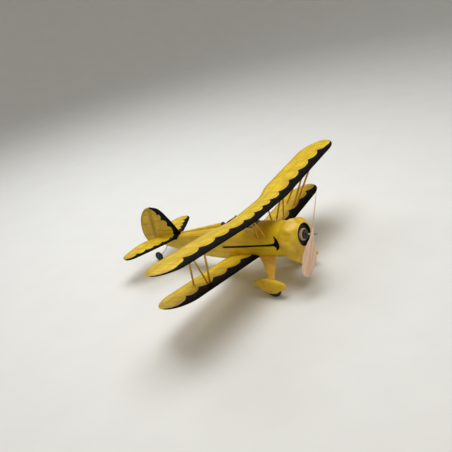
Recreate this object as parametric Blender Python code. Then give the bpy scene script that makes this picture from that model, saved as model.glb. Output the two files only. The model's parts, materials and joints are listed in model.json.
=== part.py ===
"""Flying scale model of a two-seat open-cockpit biplane, parked on its three wheels.

Every piece is drawn in the model's level frame: X forward from the upper wing's leading edge,
Y to the left wing tip, Z up from the propeller's axis. An empty then pitches the whole model
nose-up until its main wheels and tail wheel stand on the floor. All sizes are in metres.
"""
import math

import bpy
import bmesh
from mathutils import Vector

MM = 0.001
GAP = 0.3 * MM

# Wings: span measured along the panels, chord, and where the leading edges run
UPPER_SEMI_SPAN = 305 * MM
LOWER_SEMI_SPAN = 268 * MM
WING_CHORD = 86 * MM
WING_INCIDENCE = math.radians(1.6)
UPPER_DIHEDRAL = math.radians(6.2)
LOWER_DIHEDRAL = math.radians(7.0)
CENTRE_SECTION_HALF = 56 * MM
LOWER_ROOT = 32 * MM
UPPER_LEADING_Z = 60.3 * MM
WING_GAP = 93.8 * MM
WING_STAGGER = 49 * MM
WING_THICKNESS = 0.09
WING_CAMBER = 0.03
TRAILING_EDGE_HALF = 0.4 * MM
TIP_FRONT_LENGTH = 51 * MM
TIP_REAR_LENGTH = 58 * MM
TIP_FURTHEST_AFT = 0.50
CUTOUT_DEPTH = 14.5 * MM
CUTOUT_HALF = 108 * MM

# Interplane struts: span and chord fraction of each foot and head
FRONT_STRUT_FOOT = (162 * MM, 0.24)
FRONT_STRUT_HEAD = (198 * MM, 0.165)
REAR_STRUT_FOOT = (173 * MM, 0.62)
REAR_STRUT_HEAD = (212 * MM, 0.49)
STRUT_LENGTHWISE = 4.6 * MM
STRUT_CROSSWISE = 2.4 * MM
STRUT_SINK = 2.5 * MM
DIAGONAL_FOOT_INSET = 6.5 * MM
DIAGONAL_HEAD_INSET = 6 * MM

# Cabane struts, an N on each side: x, y and z of foot and head on the port side
CABANE_STRUTS = {
    "front": ((-12.0, 31.0, 5.2), (-10.5, 56.0, 60.0)),
    "diagonal": ((-32.8, 31.0, 5.4), (-16.2, 56.0, 60.0)),
    "rear": ((-38.2, 30.8, 5.2), (-61.0, 57.0, 59.8)),
}
CABANE_LENGTHWISE = 3.8 * MM
CABANE_CROSSWISE = 2.2 * MM

# Fuselage sections: x, half width, height of the widest line, crown, keel, roundness above and below
FUSELAGE_SECTIONS = (
    (16.0, 35.5, -8.0, 27.5, -43.5, 2.0, 2.0),
    (-20.0, 34.5, -5.0, 28.5, -44.5, 2.0, 2.4),
    (-60.0, 33.0, 0.0, 29.0, -46.0, 2.1, 3.2),
    (-110.0, 31.0, 5.0, 28.5, -47.5, 2.2, 4.0),
    (-150.0, 28.5, 7.0, 25.0, -48.0, 2.2, 4.5),
    (-200.0, 23.0, 6.0, 19.0, -44.5, 2.2, 4.5),
    (-247.0, 17.0, 4.0, 13.5, -38.5, 2.2, 4.5),
    (-290.0, 11.0, 2.0, 8.5, -31.0, 2.2, 4.5),
    (-330.0, 6.0, 0.0, 4.5, -23.0, 2.2, 4.0),
    (-362.0, 2.4, -1.0, 2.5, -16.0, 2.2, 3.0),
)
FUSELAGE_SIDES = 36
FUSELAGE_STEPS = 3

# Cockpits, windscreens and headrest
FRONT_COCKPIT_X = -68 * MM
REAR_COCKPIT_X = -123 * MM
COCKPIT_HALF_LENGTH = 17 * MM
COCKPIT_HALF_WIDTH = 15 * MM
COCKPIT_FLOOR_Z = -8 * MM
WINDSCREEN_HALF_WIDTH = 17 * MM
WINDSCREEN_FOOT_Z = 12 * MM
FRONT_WINDSCREEN_TOP_Z = 35 * MM
REAR_WINDSCREEN_TOP_Z = 42.5 * MM
WINDSCREEN_THICKNESS = 0.8 * MM
WINDSCREEN_AHEAD = 8 * MM
WINDSCREEN_RAKE = 9 * MM
WINDSCREEN_SWEEP = 9 * MM
WINDSCREEN_SIDE_DROP = 3.5 * MM
HEADREST_X = -143.5 * MM
HEADREST_TOP_Z = 32.5 * MM
HEADREST_HALF_HEIGHT = 9 * MM
HEADREST_HALF_WIDTH = 7 * MM
FAIRING_STEP = 1 * MM
FAIRING_END_X = -275 * MM
FAIRING_END_Z = 12 * MM
FAIRING_END_HALF_WIDTH = 2 * MM

# Cowl: x, radius, drop of the ring's centre below the propeller's axis, and depth of the chin below that
COWL_OUTSIDE = (
    (16.3, 36.2, 8.7, 0.0),
    (22.0, 38.6, 8.9, 0.8),
    (29.0, 40.8, 9.6, 2.2),
    (36.0, 41.6, 10.7, 4.5),
    (42.5, 40.4, 11.2, 5.5),
    (47.2, 37.6, 10.4, 5.3),
    (50.6, 33.8, 8.3, 4.5),
    (53.0, 29.0, 5.0, 3.0),
    (54.5, 25.4, 1.9, 1.2),
)
COWL_INSIDE_RINGS = 5
COWL_LIP_RADIUS = 23.4 * MM
COWL_THROAT_RADIUS = 21.7 * MM
COWL_THROAT_X = 46 * MM
COWL_FRONT_X = 55.2 * MM
COWL_LIP_ROUND = 1.4 * MM
COWL_SIDES = 90
COWL_WALL = 1.6 * MM
CYLINDER_COUNT = 9
BUMP_HEIGHT = 3.2 * MM
BUMP_HALF_ANGLE = math.radians(12)
BUMP_REAR_X = 18 * MM
BUMP_FRONT_X = 50.5 * MM

# Nose and propeller; blade rows are radius, reach ahead and behind the blade's line, and depth
PLATE_THICKNESS = 3 * MM
NOSE_BLOCK_RADIUS = 12 * MM
NOSE_BLOCK_FRONT_X = 55.6 * MM
NOSE_BLOCK_ROUND = 1.2 * MM
NOSE_BUTTON_RADIUS = 10 * MM
NOSE_BUTTON_LENGTH = 2.6 * MM
NOSE_BUTTON_ROUND = 0.8 * MM
THRUST_TUBE_RADIUS = 1.7 * MM
SHAFT_RADIUS = 0.8 * MM
SHAFT_BORE = 1.15 * MM
SHAFT_REAR_X = 52 * MM
SHAFT_FRONT_X = 84.5 * MM
PROP_X = 73 * MM
PROP_HUB_RADIUS = 9
PROP_RADIUS = 82.5
PROP_ROOT_ANGLE = math.radians(38)
PROP_TIP_ANGLE = math.radians(32)
PROP_REST_ANGLE = math.radians(40)
PROP_OUTLINE = (
    (0, 3.4, 3.4), (9, 4.3, 4.2), (19, 8.6, 8.0), (31, 10.8, 11.4), (44.5, 14.2, 13.8), (56, 12.6, 14.0),
    (67, 10.2, 13.4), (75.8, 7.6, 12.0), (80.5, 5.2, 9.2), (82.5, 2.0, 5.0),
)
PROP_DEPTH = ((0, 6.5), (9, 5.5), (19, 3.2), (44.5, 2.4), (67, 1.8), (82.5, 1.2))

# Landing gear; spat sections are x, top, bottom and half width, leg rows are rear x, front x, y and z
WHEEL_RADIUS = 17.5 * MM
WHEEL_WIDTH = 7.6 * MM
WHEEL_X = -8.85 * MM
WHEEL_Y = 65 * MM
WHEEL_Z = -86 * MM
TYRE_ROUND = 3.6 * MM
WHEEL_CLEARANCE = 2.0 * MM
WHEEL_SIDE_CLEARANCE = 1.2 * MM
AXLE_RADIUS = 0.8 * MM
AXLE_OVERHANG = 0.4 * MM
SPAT_HALF_WIDTH = 10.5 * MM
SPAT_SECTIONS = (
    (-58.0, -76.8, -78.2, 0.7),
    (-55.0, -72.0, -79.2, 3.0),
    (-49.7, -68.2, -80.5, 5.4),
    (-39.8, -64.9, -86.0, 8.2),
    (-26.7, -63.2, -92.5, 10.1),
    (-14.0, -63.6, -96.3, 10.5),
    (-2.0, -65.4, -96.0, 9.9),
    (7.8, -68.2, -91.5, 8.1),
    (17.0, -72.0, -86.3, 5.2),
    (22.5, -75.2, -82.3, 2.6),
    (24.4, -77.6, -79.6, 0.8),
)
LEG_THICKNESS = 3.6 * MM
LEG_ROWS = (
    (-52.5, -11.0, 22.5, -30.5),
    (-46.9, -8.9, 30.0, -36.5),
    (-36.2, -5.8, 40.0, -44.3),
    (-27.5, -3.7, 49.0, -52.6),
    (-20.9, -1.4, 57.0, -59.3),
    (-16.0, 0.2, 62.5, -64.0),
    (-14.5, 0.8, 64.5, -68.0),
)
TAIL_WHEEL_RADIUS = 11 * MM
TAIL_WHEEL_WIDTH = 5 * MM
TAIL_WHEEL_X = -378.5 * MM
TAIL_WHEEL_Z = -51.5 * MM
TAIL_WIRE_RADIUS = 0.7 * MM

# Tail surfaces
TAIL_THICKNESS = 4 * MM
TAILPLANE_Z = 0.0
RUDDER_POST_TOP = (-347, 76.5)
RUDDER_POST_FOOT = (-364.5, -15)
FIN_EDGE = ((-270, 2), (-281, 14), (-293, 35), (-304, 51), (-314, 64), (-326, 72.5), (-347, 76.5))
RUDDER_EDGE = ((-347, 76.5), (-364, 72.5), (-381, 59), (-393, 40), (-399.5, 14), (-394, -7), (-378, -17.5))
TAILPLANE_EDGE = (
    (-289, 4), (-294, 16), (-303, 36), (-316, 60), (-330, 84), (-342, 101),
    (-356, 107.5), (-371, 102), (-379, 88), (-382, 62), (-380, 36), (-371, 20), (-357, 7),
)

YELLOW = (0.62, 0.42, 0.03)
BLACK = (0.012, 0.012, 0.012)


def clear_scene():
    """Remove every object, so that the model starts from nothing."""
    for thing in list(bpy.data.objects):
        bpy.data.objects.remove(thing, do_unlink=True)


def make_datum():
    """Empty that carries the whole model and pitches it to its parked attitude."""
    datum = bpy.data.objects.new("datum", None)
    bpy.context.collection.objects.link(datum)
    datum.rotation_euler = (0.0, -parked_pitch(), 0.0)
    return datum


def parked_pitch():
    """Nose-up angle at which the main wheels and the tail wheel touch one floor."""
    length = WHEEL_X - TAIL_WHEEL_X
    height = TAIL_WHEEL_Z - WHEEL_Z
    reach = math.hypot(length, height)
    return math.atan2(height, length) + math.asin((WHEEL_RADIUS - TAIL_WHEEL_RADIUS) / reach)


def paint(thing, colour, roughness=0.45, metallic=0.0):
    """Give a piece its own material."""
    material = bpy.data.materials.new(thing.name + "_material")
    material.use_nodes = True
    shader = material.node_tree.nodes["Principled BSDF"]
    shader.inputs["Base Color"].default_value = (*colour, 1.0)
    shader.inputs["Roughness"].default_value = roughness
    shader.inputs["Metallic"].default_value = metallic
    thing.data.materials.append(material)
    return thing


def from_bmesh(name, shape, datum, place=(0.0, 0.0, 0.0), sharp_degrees=35):
    """Turn a closed bmesh into an object on the datum."""
    bmesh.ops.recalc_face_normals(shape, faces=shape.faces)
    mesh = bpy.data.meshes.new(name)
    shape.to_mesh(mesh)
    shape.free()
    mesh.shade_smooth()
    mesh.set_sharp_from_angle(angle=math.radians(sharp_degrees))
    thing = bpy.data.objects.new(name, mesh)
    bpy.context.collection.objects.link(thing)
    thing.parent = datum
    thing.location = place
    return thing


def loft(name, rings, datum, place=(0.0, 0.0, 0.0)):
    """Closed skin through rings of equally many points, with both ends capped."""
    shape = bmesh.new()
    rows = [[shape.verts.new(point) for point in ring] for ring in rings]
    count = len(rings[0])
    for near, far in zip(rows, rows[1:]):
        for index in range(count):
            after = (index + 1) % count
            shape.faces.new((near[index], near[after], far[after], far[index]))
    shape.faces.new(rows[0])
    shape.faces.new(rows[-1])
    return from_bmesh(name, shape, datum, place)


def ring_loft(name, rings, datum, place=(0.0, 0.0, 0.0)):
    """Closed skin through rings where the last ring meets the first, as a turned hoop does."""
    shape = bmesh.new()
    rows = [[shape.verts.new(point) for point in ring] for ring in rings]
    count = len(rings[0])
    for near, far in zip(rows, rows[1:] + rows[:1]):
        for index in range(count):
            after = (index + 1) % count
            shape.faces.new((near[index], near[after], far[after], far[index]))
    return from_bmesh(name, shape, datum, place)


def cutter(thing):
    """Mark a solid as a cutting tool, which is no piece of the model."""
    thing.hide_render = True
    thing.display_type = "WIRE"
    return thing


def cut(thing, *tools):
    """Take the cutting tools out of a piece."""
    for tool in tools:
        modifier = thing.modifiers.new("cut by " + tool.name, "BOOLEAN")
        modifier.operation = "DIFFERENCE"
        modifier.solver = "EXACT"
        modifier.object = tool
    return thing


def smooth_line(points, per_span=4):
    """Catmull-Rom curve through the given points, ends included."""
    padded = [points[0], *points, points[-1]]
    line = []
    for index in range(len(points) - 1):
        before, start, end, after = (Vector(point) for point in padded[index:index + 4])
        for step in range(per_span):
            t = step / per_span
            line.append(0.5 * (
                2 * start + (end - before) * t
                + (2 * before - 5 * start + 4 * end - after) * t ** 2
                + (3 * start - before - 3 * end + after) * t ** 3
            ))
    line.append(Vector(points[-1]))
    return line


def wing_section(grow):
    """Cambered aerofoil of unit chord: distance aft of the nose, and height in chords."""
    steps = 10
    upper, lower = [], []
    for index in range(steps + 1):
        aft = 0.5 * (1 - math.cos(math.pi * index / steps))
        half = 5 * WING_THICKNESS * (
            0.2969 * math.sqrt(aft) - 0.126 * aft - 0.3516 * aft ** 2 + 0.2843 * aft ** 3 - 0.1015 * aft ** 4
        )
        mean = WING_CAMBER * 4 * aft * (1 - aft)
        edge = TRAILING_EDGE_HALF / WING_CHORD * aft
        upper.append((aft, mean + half + edge + grow))
        lower.append((aft, mean * 0.55 - half - edge - grow))
    outline = [*reversed(upper[1:]), (-grow, 0.0), *lower[1:]]
    if grow:
        outline.append((1 + grow, 0.0))
    return outline


def tip_fraction(span, semi_span, length):
    """How far a rounded tip's edge has moved in, 0 on the straight part and 1 at the very tip."""
    into = (span - (semi_span - length)) / length
    if into <= 0:
        return 0.0
    return 1 - math.sqrt(max(0.0, 1 - into ** 2))


def wing_edges(span, semi_span, with_cutout):
    """Distances of the leading and trailing edges aft of the straight leading edge."""
    furthest = TIP_FURTHEST_AFT * WING_CHORD
    leading = furthest * tip_fraction(span, semi_span, TIP_FRONT_LENGTH)
    trailing = WING_CHORD - (WING_CHORD - furthest) * tip_fraction(span, semi_span, TIP_REAR_LENGTH)
    if with_cutout and span < CUTOUT_HALF:
        trailing -= CUTOUT_DEPTH * 0.5 * (1 + math.cos(math.pi * (span / CUTOUT_HALF) ** 2))
    return leading, trailing


def wing_ring(span, side, semi_span, break_span, dihedral, leading_x, leading_z, cutout, grow):
    """One chordwise ring of a wing."""
    leading, trailing = wing_edges(span, semi_span, cutout)
    chord = trailing - leading
    outboard = max(0.0, span - break_span)
    y = side * (min(span, break_span) + outboard * math.cos(dihedral))
    base = leading_z + outboard * math.sin(dihedral)
    ring = []
    for aft, height in wing_section(grow / chord):
        back = leading + aft * chord
        ring.append((leading_x - back, y, base + height * chord - back * math.sin(WING_INCIDENCE)))
    return ring


def tip_spans(semi_span):
    """Spans of the rings round a tip, closer together towards its end."""
    steps = 8
    length = TIP_REAR_LENGTH
    return [semi_span - length * (1 - math.sin(math.radians(84) * index / steps))
            for index in range(steps + 1)]


def upper_wing_place(span, fraction, side):
    """Point of the upper wing's chord line, a fraction of the chord aft of the leading edge."""
    outboard = max(0.0, span - CENTRE_SECTION_HALF)
    y = side * (min(span, CENTRE_SECTION_HALF) + outboard * math.cos(UPPER_DIHEDRAL))
    back = fraction * WING_CHORD
    z = UPPER_LEADING_Z + outboard * math.sin(UPPER_DIHEDRAL) - back * math.sin(WING_INCIDENCE)
    return Vector((-back, y, z))


def lower_wing_place(span, fraction, side):
    """Point of the lower wing's chord line, a fraction of the chord aft of the leading edge."""
    outboard = span - LOWER_ROOT
    y = side * (LOWER_ROOT + outboard * math.cos(LOWER_DIHEDRAL))
    back = fraction * WING_CHORD
    z = UPPER_LEADING_Z - WING_GAP + outboard * math.sin(LOWER_DIHEDRAL) - back * math.sin(WING_INCIDENCE)
    return Vector((-WING_STAGGER - back, y, z))


def upper_wing(name, datum, grow=0.0):
    """Upper wing in one piece: flat centre section, two panels with dihedral, rounded tips."""
    centre = [CUTOUT_HALF * step / 6 for step in range(1, 7)]
    spans = sorted([*centre, CENTRE_SECTION_HALF, 150 * MM, 200 * MM, *tip_spans(UPPER_SEMI_SPAN)])
    signed = [(-1, span) for span in reversed(spans)] + [(1, 0.0)] + [(1, span) for span in spans]
    rings = [
        wing_ring(span, side, UPPER_SEMI_SPAN, CENTRE_SECTION_HALF, UPPER_DIHEDRAL,
                  0.0, UPPER_LEADING_Z, True, grow)
        for side, span in signed
    ]
    return loft(name, rings, datum)


def lower_wing(name, side, datum, grow=0.0):
    """One lower wing panel, which starts inside the fuselage and is then cut to its side."""
    inner = LOWER_ROOT - 8 * MM
    spans = [inner, LOWER_ROOT, 90 * MM, 150 * MM, *tip_spans(LOWER_SEMI_SPAN)]
    rings = [
        wing_ring(span, side, LOWER_SEMI_SPAN, LOWER_ROOT, LOWER_DIHEDRAL,
                  -WING_STAGGER, UPPER_LEADING_Z - WING_GAP, False, grow)
        for span in spans
    ]
    return loft(name, rings, datum)


def fuselage_ring(x, half_width, widest, crown, keel, round_up, round_low, grow):
    """One section of the fuselage: an arched deck over a body that turns from round to boxy."""
    ring = []
    for index in range(FUSELAGE_SIDES):
        angle = 2 * math.pi * index / FUSELAGE_SIDES
        roundness = round_up if math.sin(angle) >= 0 else round_low
        across = math.copysign(abs(math.cos(angle)) ** (2 / roundness), math.cos(angle))
        upward = math.copysign(abs(math.sin(angle)) ** (2 / roundness), math.sin(angle))
        height = (crown - widest) if upward >= 0 else (widest - keel)
        ring.append((x * MM, across * (half_width * MM + grow), widest * MM + upward * (height * MM + grow)))
    return ring


def fuselage(name, datum, grow=0.0):
    """Fuselage skin from the firewall to the stern post."""
    stations = smooth_line([Vector(section) for section in FUSELAGE_SECTIONS], FUSELAGE_STEPS)
    rings = [fuselage_ring(*station, grow) for station in stations]
    if grow:
        first, last = FUSELAGE_SECTIONS[0], FUSELAGE_SECTIONS[-1]
        rings[0] = fuselage_ring(first[0] + grow / MM, *first[1:], grow)
        rings[-1] = fuselage_ring(last[0] - grow / MM, *last[1:], grow)
    return loft(name, rings, datum)


def cockpit_cutter(name, centre_x, datum):
    """Upright oval well that opens a cockpit."""
    rings = []
    for z in (COCKPIT_FLOOR_Z, 45 * MM):
        ring = []
        for index in range(28):
            angle = 2 * math.pi * index / 28
            along = math.copysign(abs(math.cos(angle)) ** 0.8, math.cos(angle)) * COCKPIT_HALF_LENGTH
            across = math.copysign(abs(math.sin(angle)) ** 0.8, math.sin(angle)) * COCKPIT_HALF_WIDTH
            ring.append((centre_x + along, across, z))
        rings.append(ring)
    return cutter(loft(name, rings, datum))


def windscreen(name, cockpit_x, top_z, datum, fuselage_tool):
    """Clear sheet curved round the front of a cockpit and raked back."""
    foot_x = cockpit_x + COCKPIT_HALF_LENGTH + WINDSCREEN_AHEAD
    steps = 12
    rings = []
    for index in range(steps + 1):
        turn = -1 + 2 * index / steps
        x = foot_x - WINDSCREEN_SWEEP * turn ** 2
        y = WINDSCREEN_HALF_WIDTH * turn
        top = top_z - WINDSCREEN_SIDE_DROP * turn ** 4
        rings.append([
            (x, y, WINDSCREEN_FOOT_Z),
            (x - WINDSCREEN_RAKE, y, top),
            (x - WINDSCREEN_RAKE + WINDSCREEN_THICKNESS, y, top),
            (x + WINDSCREEN_THICKNESS, y, WINDSCREEN_FOOT_Z),
        ])
    return cut(loft(name, rings, datum), fuselage_tool)


def headrest(datum, fuselage_tool):
    """Leather pad behind the rear cockpit."""
    centre_z = HEADREST_TOP_Z - HEADREST_HALF_HEIGHT
    rings = []
    for x, shrink in ((HEADREST_X + 2 * MM, 0.72), (HEADREST_X + 1 * MM, 1.0), (HEADREST_X - 1.5 * MM, 1.0)):
        ring = []
        for index in range(20):
            angle = 2 * math.pi * index / 20
            ring.append((x, HEADREST_HALF_WIDTH * shrink * math.cos(angle),
                         centre_z + HEADREST_HALF_HEIGHT * shrink * math.sin(angle)))
        rings.append(ring)
    return cut(loft("headrest", rings, datum), fuselage_tool)


def headrest_fairing(datum, fuselage_tool):
    """Narrow ridge that tapers from the headrest to the fin."""
    front_x = HEADREST_X - 1.5 * MM - GAP
    front_z = HEADREST_TOP_Z - FAIRING_STEP
    rings = []
    steps = 6
    for index in range(steps + 1):
        t = index / steps
        x = front_x + (FAIRING_END_X - front_x) * t
        half = HEADREST_HALF_WIDTH + (FAIRING_END_HALF_WIDTH - HEADREST_HALF_WIDTH) * t
        top = front_z + (FAIRING_END_Z - front_z) * t
        ring = [(x, -half, 0.0), (x, half, 0.0)]
        for corner in range(7):
            angle = math.pi * corner / 6
            ring.append((x, half * math.cos(angle), top - half + half * math.sin(angle)))
        rings.append(ring)
    return cut(loft("headrest_fairing", rings, datum), fuselage_tool)


def cowl_bump(x, angle):
    """Height of the nearest rocker bump at a place on the cowl."""
    if not BUMP_REAR_X < x < BUMP_FRONT_X:
        return 0.0
    pitch = 2 * math.pi / CYLINDER_COUNT
    away = (angle - math.pi / 2 + pitch / 2) % pitch - pitch / 2
    if abs(away) > BUMP_HALF_ANGLE:
        return 0.0
    along = (x - BUMP_REAR_X) / (BUMP_FRONT_X - BUMP_REAR_X)
    lengthwise = math.sin(math.pi * along ** 1.5)
    return BUMP_HEIGHT * lengthwise * math.cos(0.5 * math.pi * away / BUMP_HALF_ANGLE) ** 0.8


def cowl(datum):
    """Round engine cowl: a thin shell with a row of rocker bumps and a turned-in throat."""
    angles = [2 * math.pi * index / COWL_SIDES for index in range(COWL_SIDES)]
    rings = [
        cowl_ring(x * MM, [radius * MM + cowl_bump(x * MM, angle) for angle in angles],
                  drop * MM, chin * MM, angles)
        for x, radius, drop, chin in COWL_OUTSIDE
    ]
    throat = (
        (COWL_FRONT_X, COWL_LIP_RADIUS),
        (COWL_FRONT_X - COWL_LIP_ROUND, COWL_THROAT_RADIUS),
        (COWL_THROAT_X, COWL_THROAT_RADIUS),
        (COWL_THROAT_X, COWL_THROAT_RADIUS + COWL_WALL),
    )
    rings += [cowl_ring(x, [radius] * COWL_SIDES, 0.0, 0.0, angles) for x, radius in throat]
    rings += [
        cowl_ring(x * MM, [radius * MM - COWL_WALL] * COWL_SIDES, drop * MM, chin * MM, angles)
        for x, radius, drop, chin in COWL_OUTSIDE[COWL_INSIDE_RINGS::-1]
    ]
    return ring_loft("cowl", rings, datum)


def cowl_ring(x, reaches, drop, chin, angles):
    """One ring of the cowl, its centre a little below the propeller's axis and its lower half deeper."""
    return [
        (x, reach * math.cos(angle), reach * math.sin(angle) - drop + chin * min(0.0, math.sin(angle)))
        for reach, angle in zip(reaches, angles)
    ]


def turned(name, profile, bore, datum, place=(0.0, 0.0, 0.0), sides=32, axis="x"):
    """Hoop or disc turned about an axis: outline points of (along, radius), and a bore radius."""
    points = [(along, radius) for along, radius in profile]
    points += [(profile[-1][0], bore), (profile[0][0], bore)]
    rings = []
    for along, radius in points:
        ring = []
        for index in range(sides):
            angle = 2 * math.pi * index / sides
            across, upward = radius * math.cos(angle), radius * math.sin(angle)
            ring.append((along, across, upward) if axis == "x" else (across, along, upward))
        rings.append(ring)
    return ring_loft(name, rings, datum, place)


def rod(name, start, end, radius, datum, sides=12):
    """Round straight rod."""
    return tube(name, [Vector(start), Vector(end)], radius, datum, sides)


def tube(name, path, radius, datum, sides=12):
    """Round wire along a path, each ring square to the path."""
    rings = []
    side = None
    for index, point in enumerate(path):
        before = path[max(0, index - 1)]
        after = path[min(len(path) - 1, index + 1)]
        along = (after - before).normalized()
        if side is None:
            side = along.orthogonal().normalized()
        side = (side - along * side.dot(along)).normalized()
        other = along.cross(side)
        rings.append([
            point + radius * (side * math.cos(angle) + other * math.sin(angle))
            for angle in (2 * math.pi * turn / sides for turn in range(sides))
        ])
    return loft(name, rings, datum)


def strut(name, foot, head, datum, lengthwise=STRUT_LENGTHWISE, crosswise=STRUT_CROSSWISE):
    """Flattened wooden strut, its long section along the line of flight."""
    along = (head - foot).normalized()
    forward = (Vector((1, 0, 0)) - along * along.x).normalized()
    sideways = along.cross(forward)
    rings = []
    for point in (foot, head):
        rings.append([
            point + forward * (0.5 * lengthwise * math.cos(angle))
            + sideways * (0.5 * crosswise * math.sin(angle))
            for angle in (2 * math.pi * turn / 12 for turn in range(12))
        ])
    return loft(name, rings, datum)


def interplane_struts(side_name, side, datum, wing_tools):
    """Front, rear and diagonal strut between the two wings on one side."""
    lift = Vector((0.0, 0.0, STRUT_SINK))
    front_foot = lower_wing_place(*FRONT_STRUT_FOOT, side) + lift
    front_head = upper_wing_place(*FRONT_STRUT_HEAD, side) + lift
    rear_foot = lower_wing_place(*REAR_STRUT_FOOT, side) + lift
    rear_head = upper_wing_place(*REAR_STRUT_HEAD, side) + lift
    lines = {
        "front": (front_foot, front_head),
        "rear": (rear_foot, rear_head),
        "diagonal": (front_foot - Vector((DIAGONAL_FOOT_INSET, 0.0, 0.0)),
                     rear_head + Vector((DIAGONAL_HEAD_INSET, 0.0, 0.0))),
    }
    for place, (foot, head) in lines.items():
        piece = strut("interplane_strut_" + place + "_" + side_name, foot, head, datum)
        paint(cut(piece, *wing_tools), YELLOW, 0.4)


def cabane_struts(side_name, side, datum, tools):
    """Front, diagonal and rear strut from the fuselage's side to the centre section's end."""
    for place, line in CABANE_STRUTS.items():
        foot, head = (Vector((x, side * y, z)) * MM for x, y, z in line)
        piece = strut("cabane_strut_" + place + "_" + side_name, foot, head, datum,
                      CABANE_LENGTHWISE, CABANE_CROSSWISE)
        paint(cut(piece, *tools), YELLOW, 0.4)


def plate(name, outline, thickness, upright, datum, z=0.0, side=1):
    """Flat tail surface with rounded edges: outline in x and z if upright, else in x and y."""
    shape = bmesh.new()
    layers = []
    inset = 0.9 * MM
    for level, shrink in ((-0.5, inset), (-0.28, 0.0), (0.28, 0.0), (0.5, inset)):
        layers.append([shape.verts.new(point) for point in plate_layer(
            outline, level * thickness, shrink, upright, z, side)])
    count = len(outline)
    for near, far in zip(layers, layers[1:]):
        for index in range(count):
            after = (index + 1) % count
            shape.faces.new((near[index], near[after], far[after], far[index]))
    shape.faces.new(layers[0])
    shape.faces.new(layers[-1])
    return from_bmesh(name, shape, datum)


def plate_layer(outline, offset, shrink, upright, z, side):
    """One layer of a tail plate: the outline drawn in by a little and moved off its middle."""
    count = len(outline)
    area = sum(outline[i].x * outline[(i + 1) % count].y - outline[(i + 1) % count].x * outline[i].y
               for i in range(count))
    turn = 1 if area > 0 else -1
    layer = []
    for index, point in enumerate(outline):
        along = (outline[(index + 1) % count] - outline[index - 1]).normalized()
        inward = Vector((-along.y, along.x)) * turn
        drawn = point + inward * shrink
        layer.append((drawn.x, offset, drawn.y) if upright else (drawn.x, side * drawn.y, z + offset))
    return layer


def fin(datum, fuselage_tool):
    """Fin, its foot cut to the deck of the fuselage."""
    edge = smooth_line([Vector(point) * MM for point in FIN_EDGE], 3)
    top, foot = Vector(RUDDER_POST_TOP) * MM, Vector(RUDDER_POST_FOOT) * MM
    outline = [*edge, top.lerp(foot, 0.86)]
    return cut(plate("fin", outline, TAIL_THICKNESS, True, datum), fuselage_tool)


def rudder(datum, fuselage_tool):
    """Rudder on its post, fixed on a free-flight model."""
    edge = smooth_line([Vector(point) * MM for point in RUDDER_EDGE], 3)
    outline = [point - Vector((2 * GAP, 0)) for point in edge]
    outline.append(Vector(RUDDER_POST_FOOT) * MM - Vector((2 * GAP, 0)))
    return cut(plate("rudder", outline, TAIL_THICKNESS, True, datum), fuselage_tool)


def tailplane(name, side, datum, fuselage_tool):
    """One half of the tailplane, its root cut to the side of the fuselage."""
    outline = smooth_line([Vector(point) * MM for point in TAILPLANE_EDGE], 3)
    return cut(plate(name, outline, TAIL_THICKNESS, False, datum, TAILPLANE_Z, side), fuselage_tool)


def blade_angle(station):
    """Angle of a blade's chord from the plane of the disc, turning over inside the hub."""
    radius = abs(station)
    if radius < PROP_HUB_RADIUS:
        angle = 0.5 * math.pi + (PROP_ROOT_ANGLE - 0.5 * math.pi) * radius / PROP_HUB_RADIUS
    else:
        along = (radius - PROP_HUB_RADIUS) / (PROP_RADIUS - PROP_HUB_RADIUS)
        angle = PROP_ROOT_ANGLE + (PROP_TIP_ANGLE - PROP_ROOT_ANGLE) * along
    return angle if station >= 0 else math.pi - angle


def propeller(datum):
    """Carved two-blade propeller, in one piece with its hub."""
    forward = Vector((1.0, 0.0, 0.0))
    blade = Vector((0.0, -math.sin(PROP_REST_ANGLE), -math.cos(PROP_REST_ANGLE)))
    tangent = forward.cross(blade)
    rows = smooth_line([Vector(row) for row in PROP_OUTLINE], 2)
    signed = [(-1, row) for row in reversed(rows[1:])] + [(1, row) for row in rows]
    rings = []
    for sign, (radius, ahead, behind) in signed:
        station = sign * radius
        angle = blade_angle(station)
        chord = math.cos(angle) * tangent + math.sin(angle) * forward
        face = blade.cross(chord)
        centre = blade * station + chord * (0.5 * (ahead - behind))
        width = 0.5 * (ahead + behind)
        depth = 0.5 * between(PROP_DEPTH, radius)
        rings.append([
            (centre + chord * (width * math.cos(turn)) + face * (depth * math.sin(turn))) * MM
            for turn in (2 * math.pi * index / 16 for index in range(16))
        ])
    piece = loft("propeller", rings, datum, (PROP_X, 0.0, 0.0))
    reach = 12 * MM
    tool = cutter(rod("propeller_bore_cutter", (PROP_X - reach, 0, 0), (PROP_X + reach, 0, 0),
                      SHAFT_BORE, datum, 20))
    return paint(cut(piece, tool), (0.55, 0.33, 0.22), 0.5)


def between(rows, value):
    """Straight-line value between rows of (place, value)."""
    for (low, first), (high, second) in zip(rows, rows[1:]):
        if value <= high:
            return first + (second - first) * (value - low) / (high - low)
    return rows[-1][1]


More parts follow.
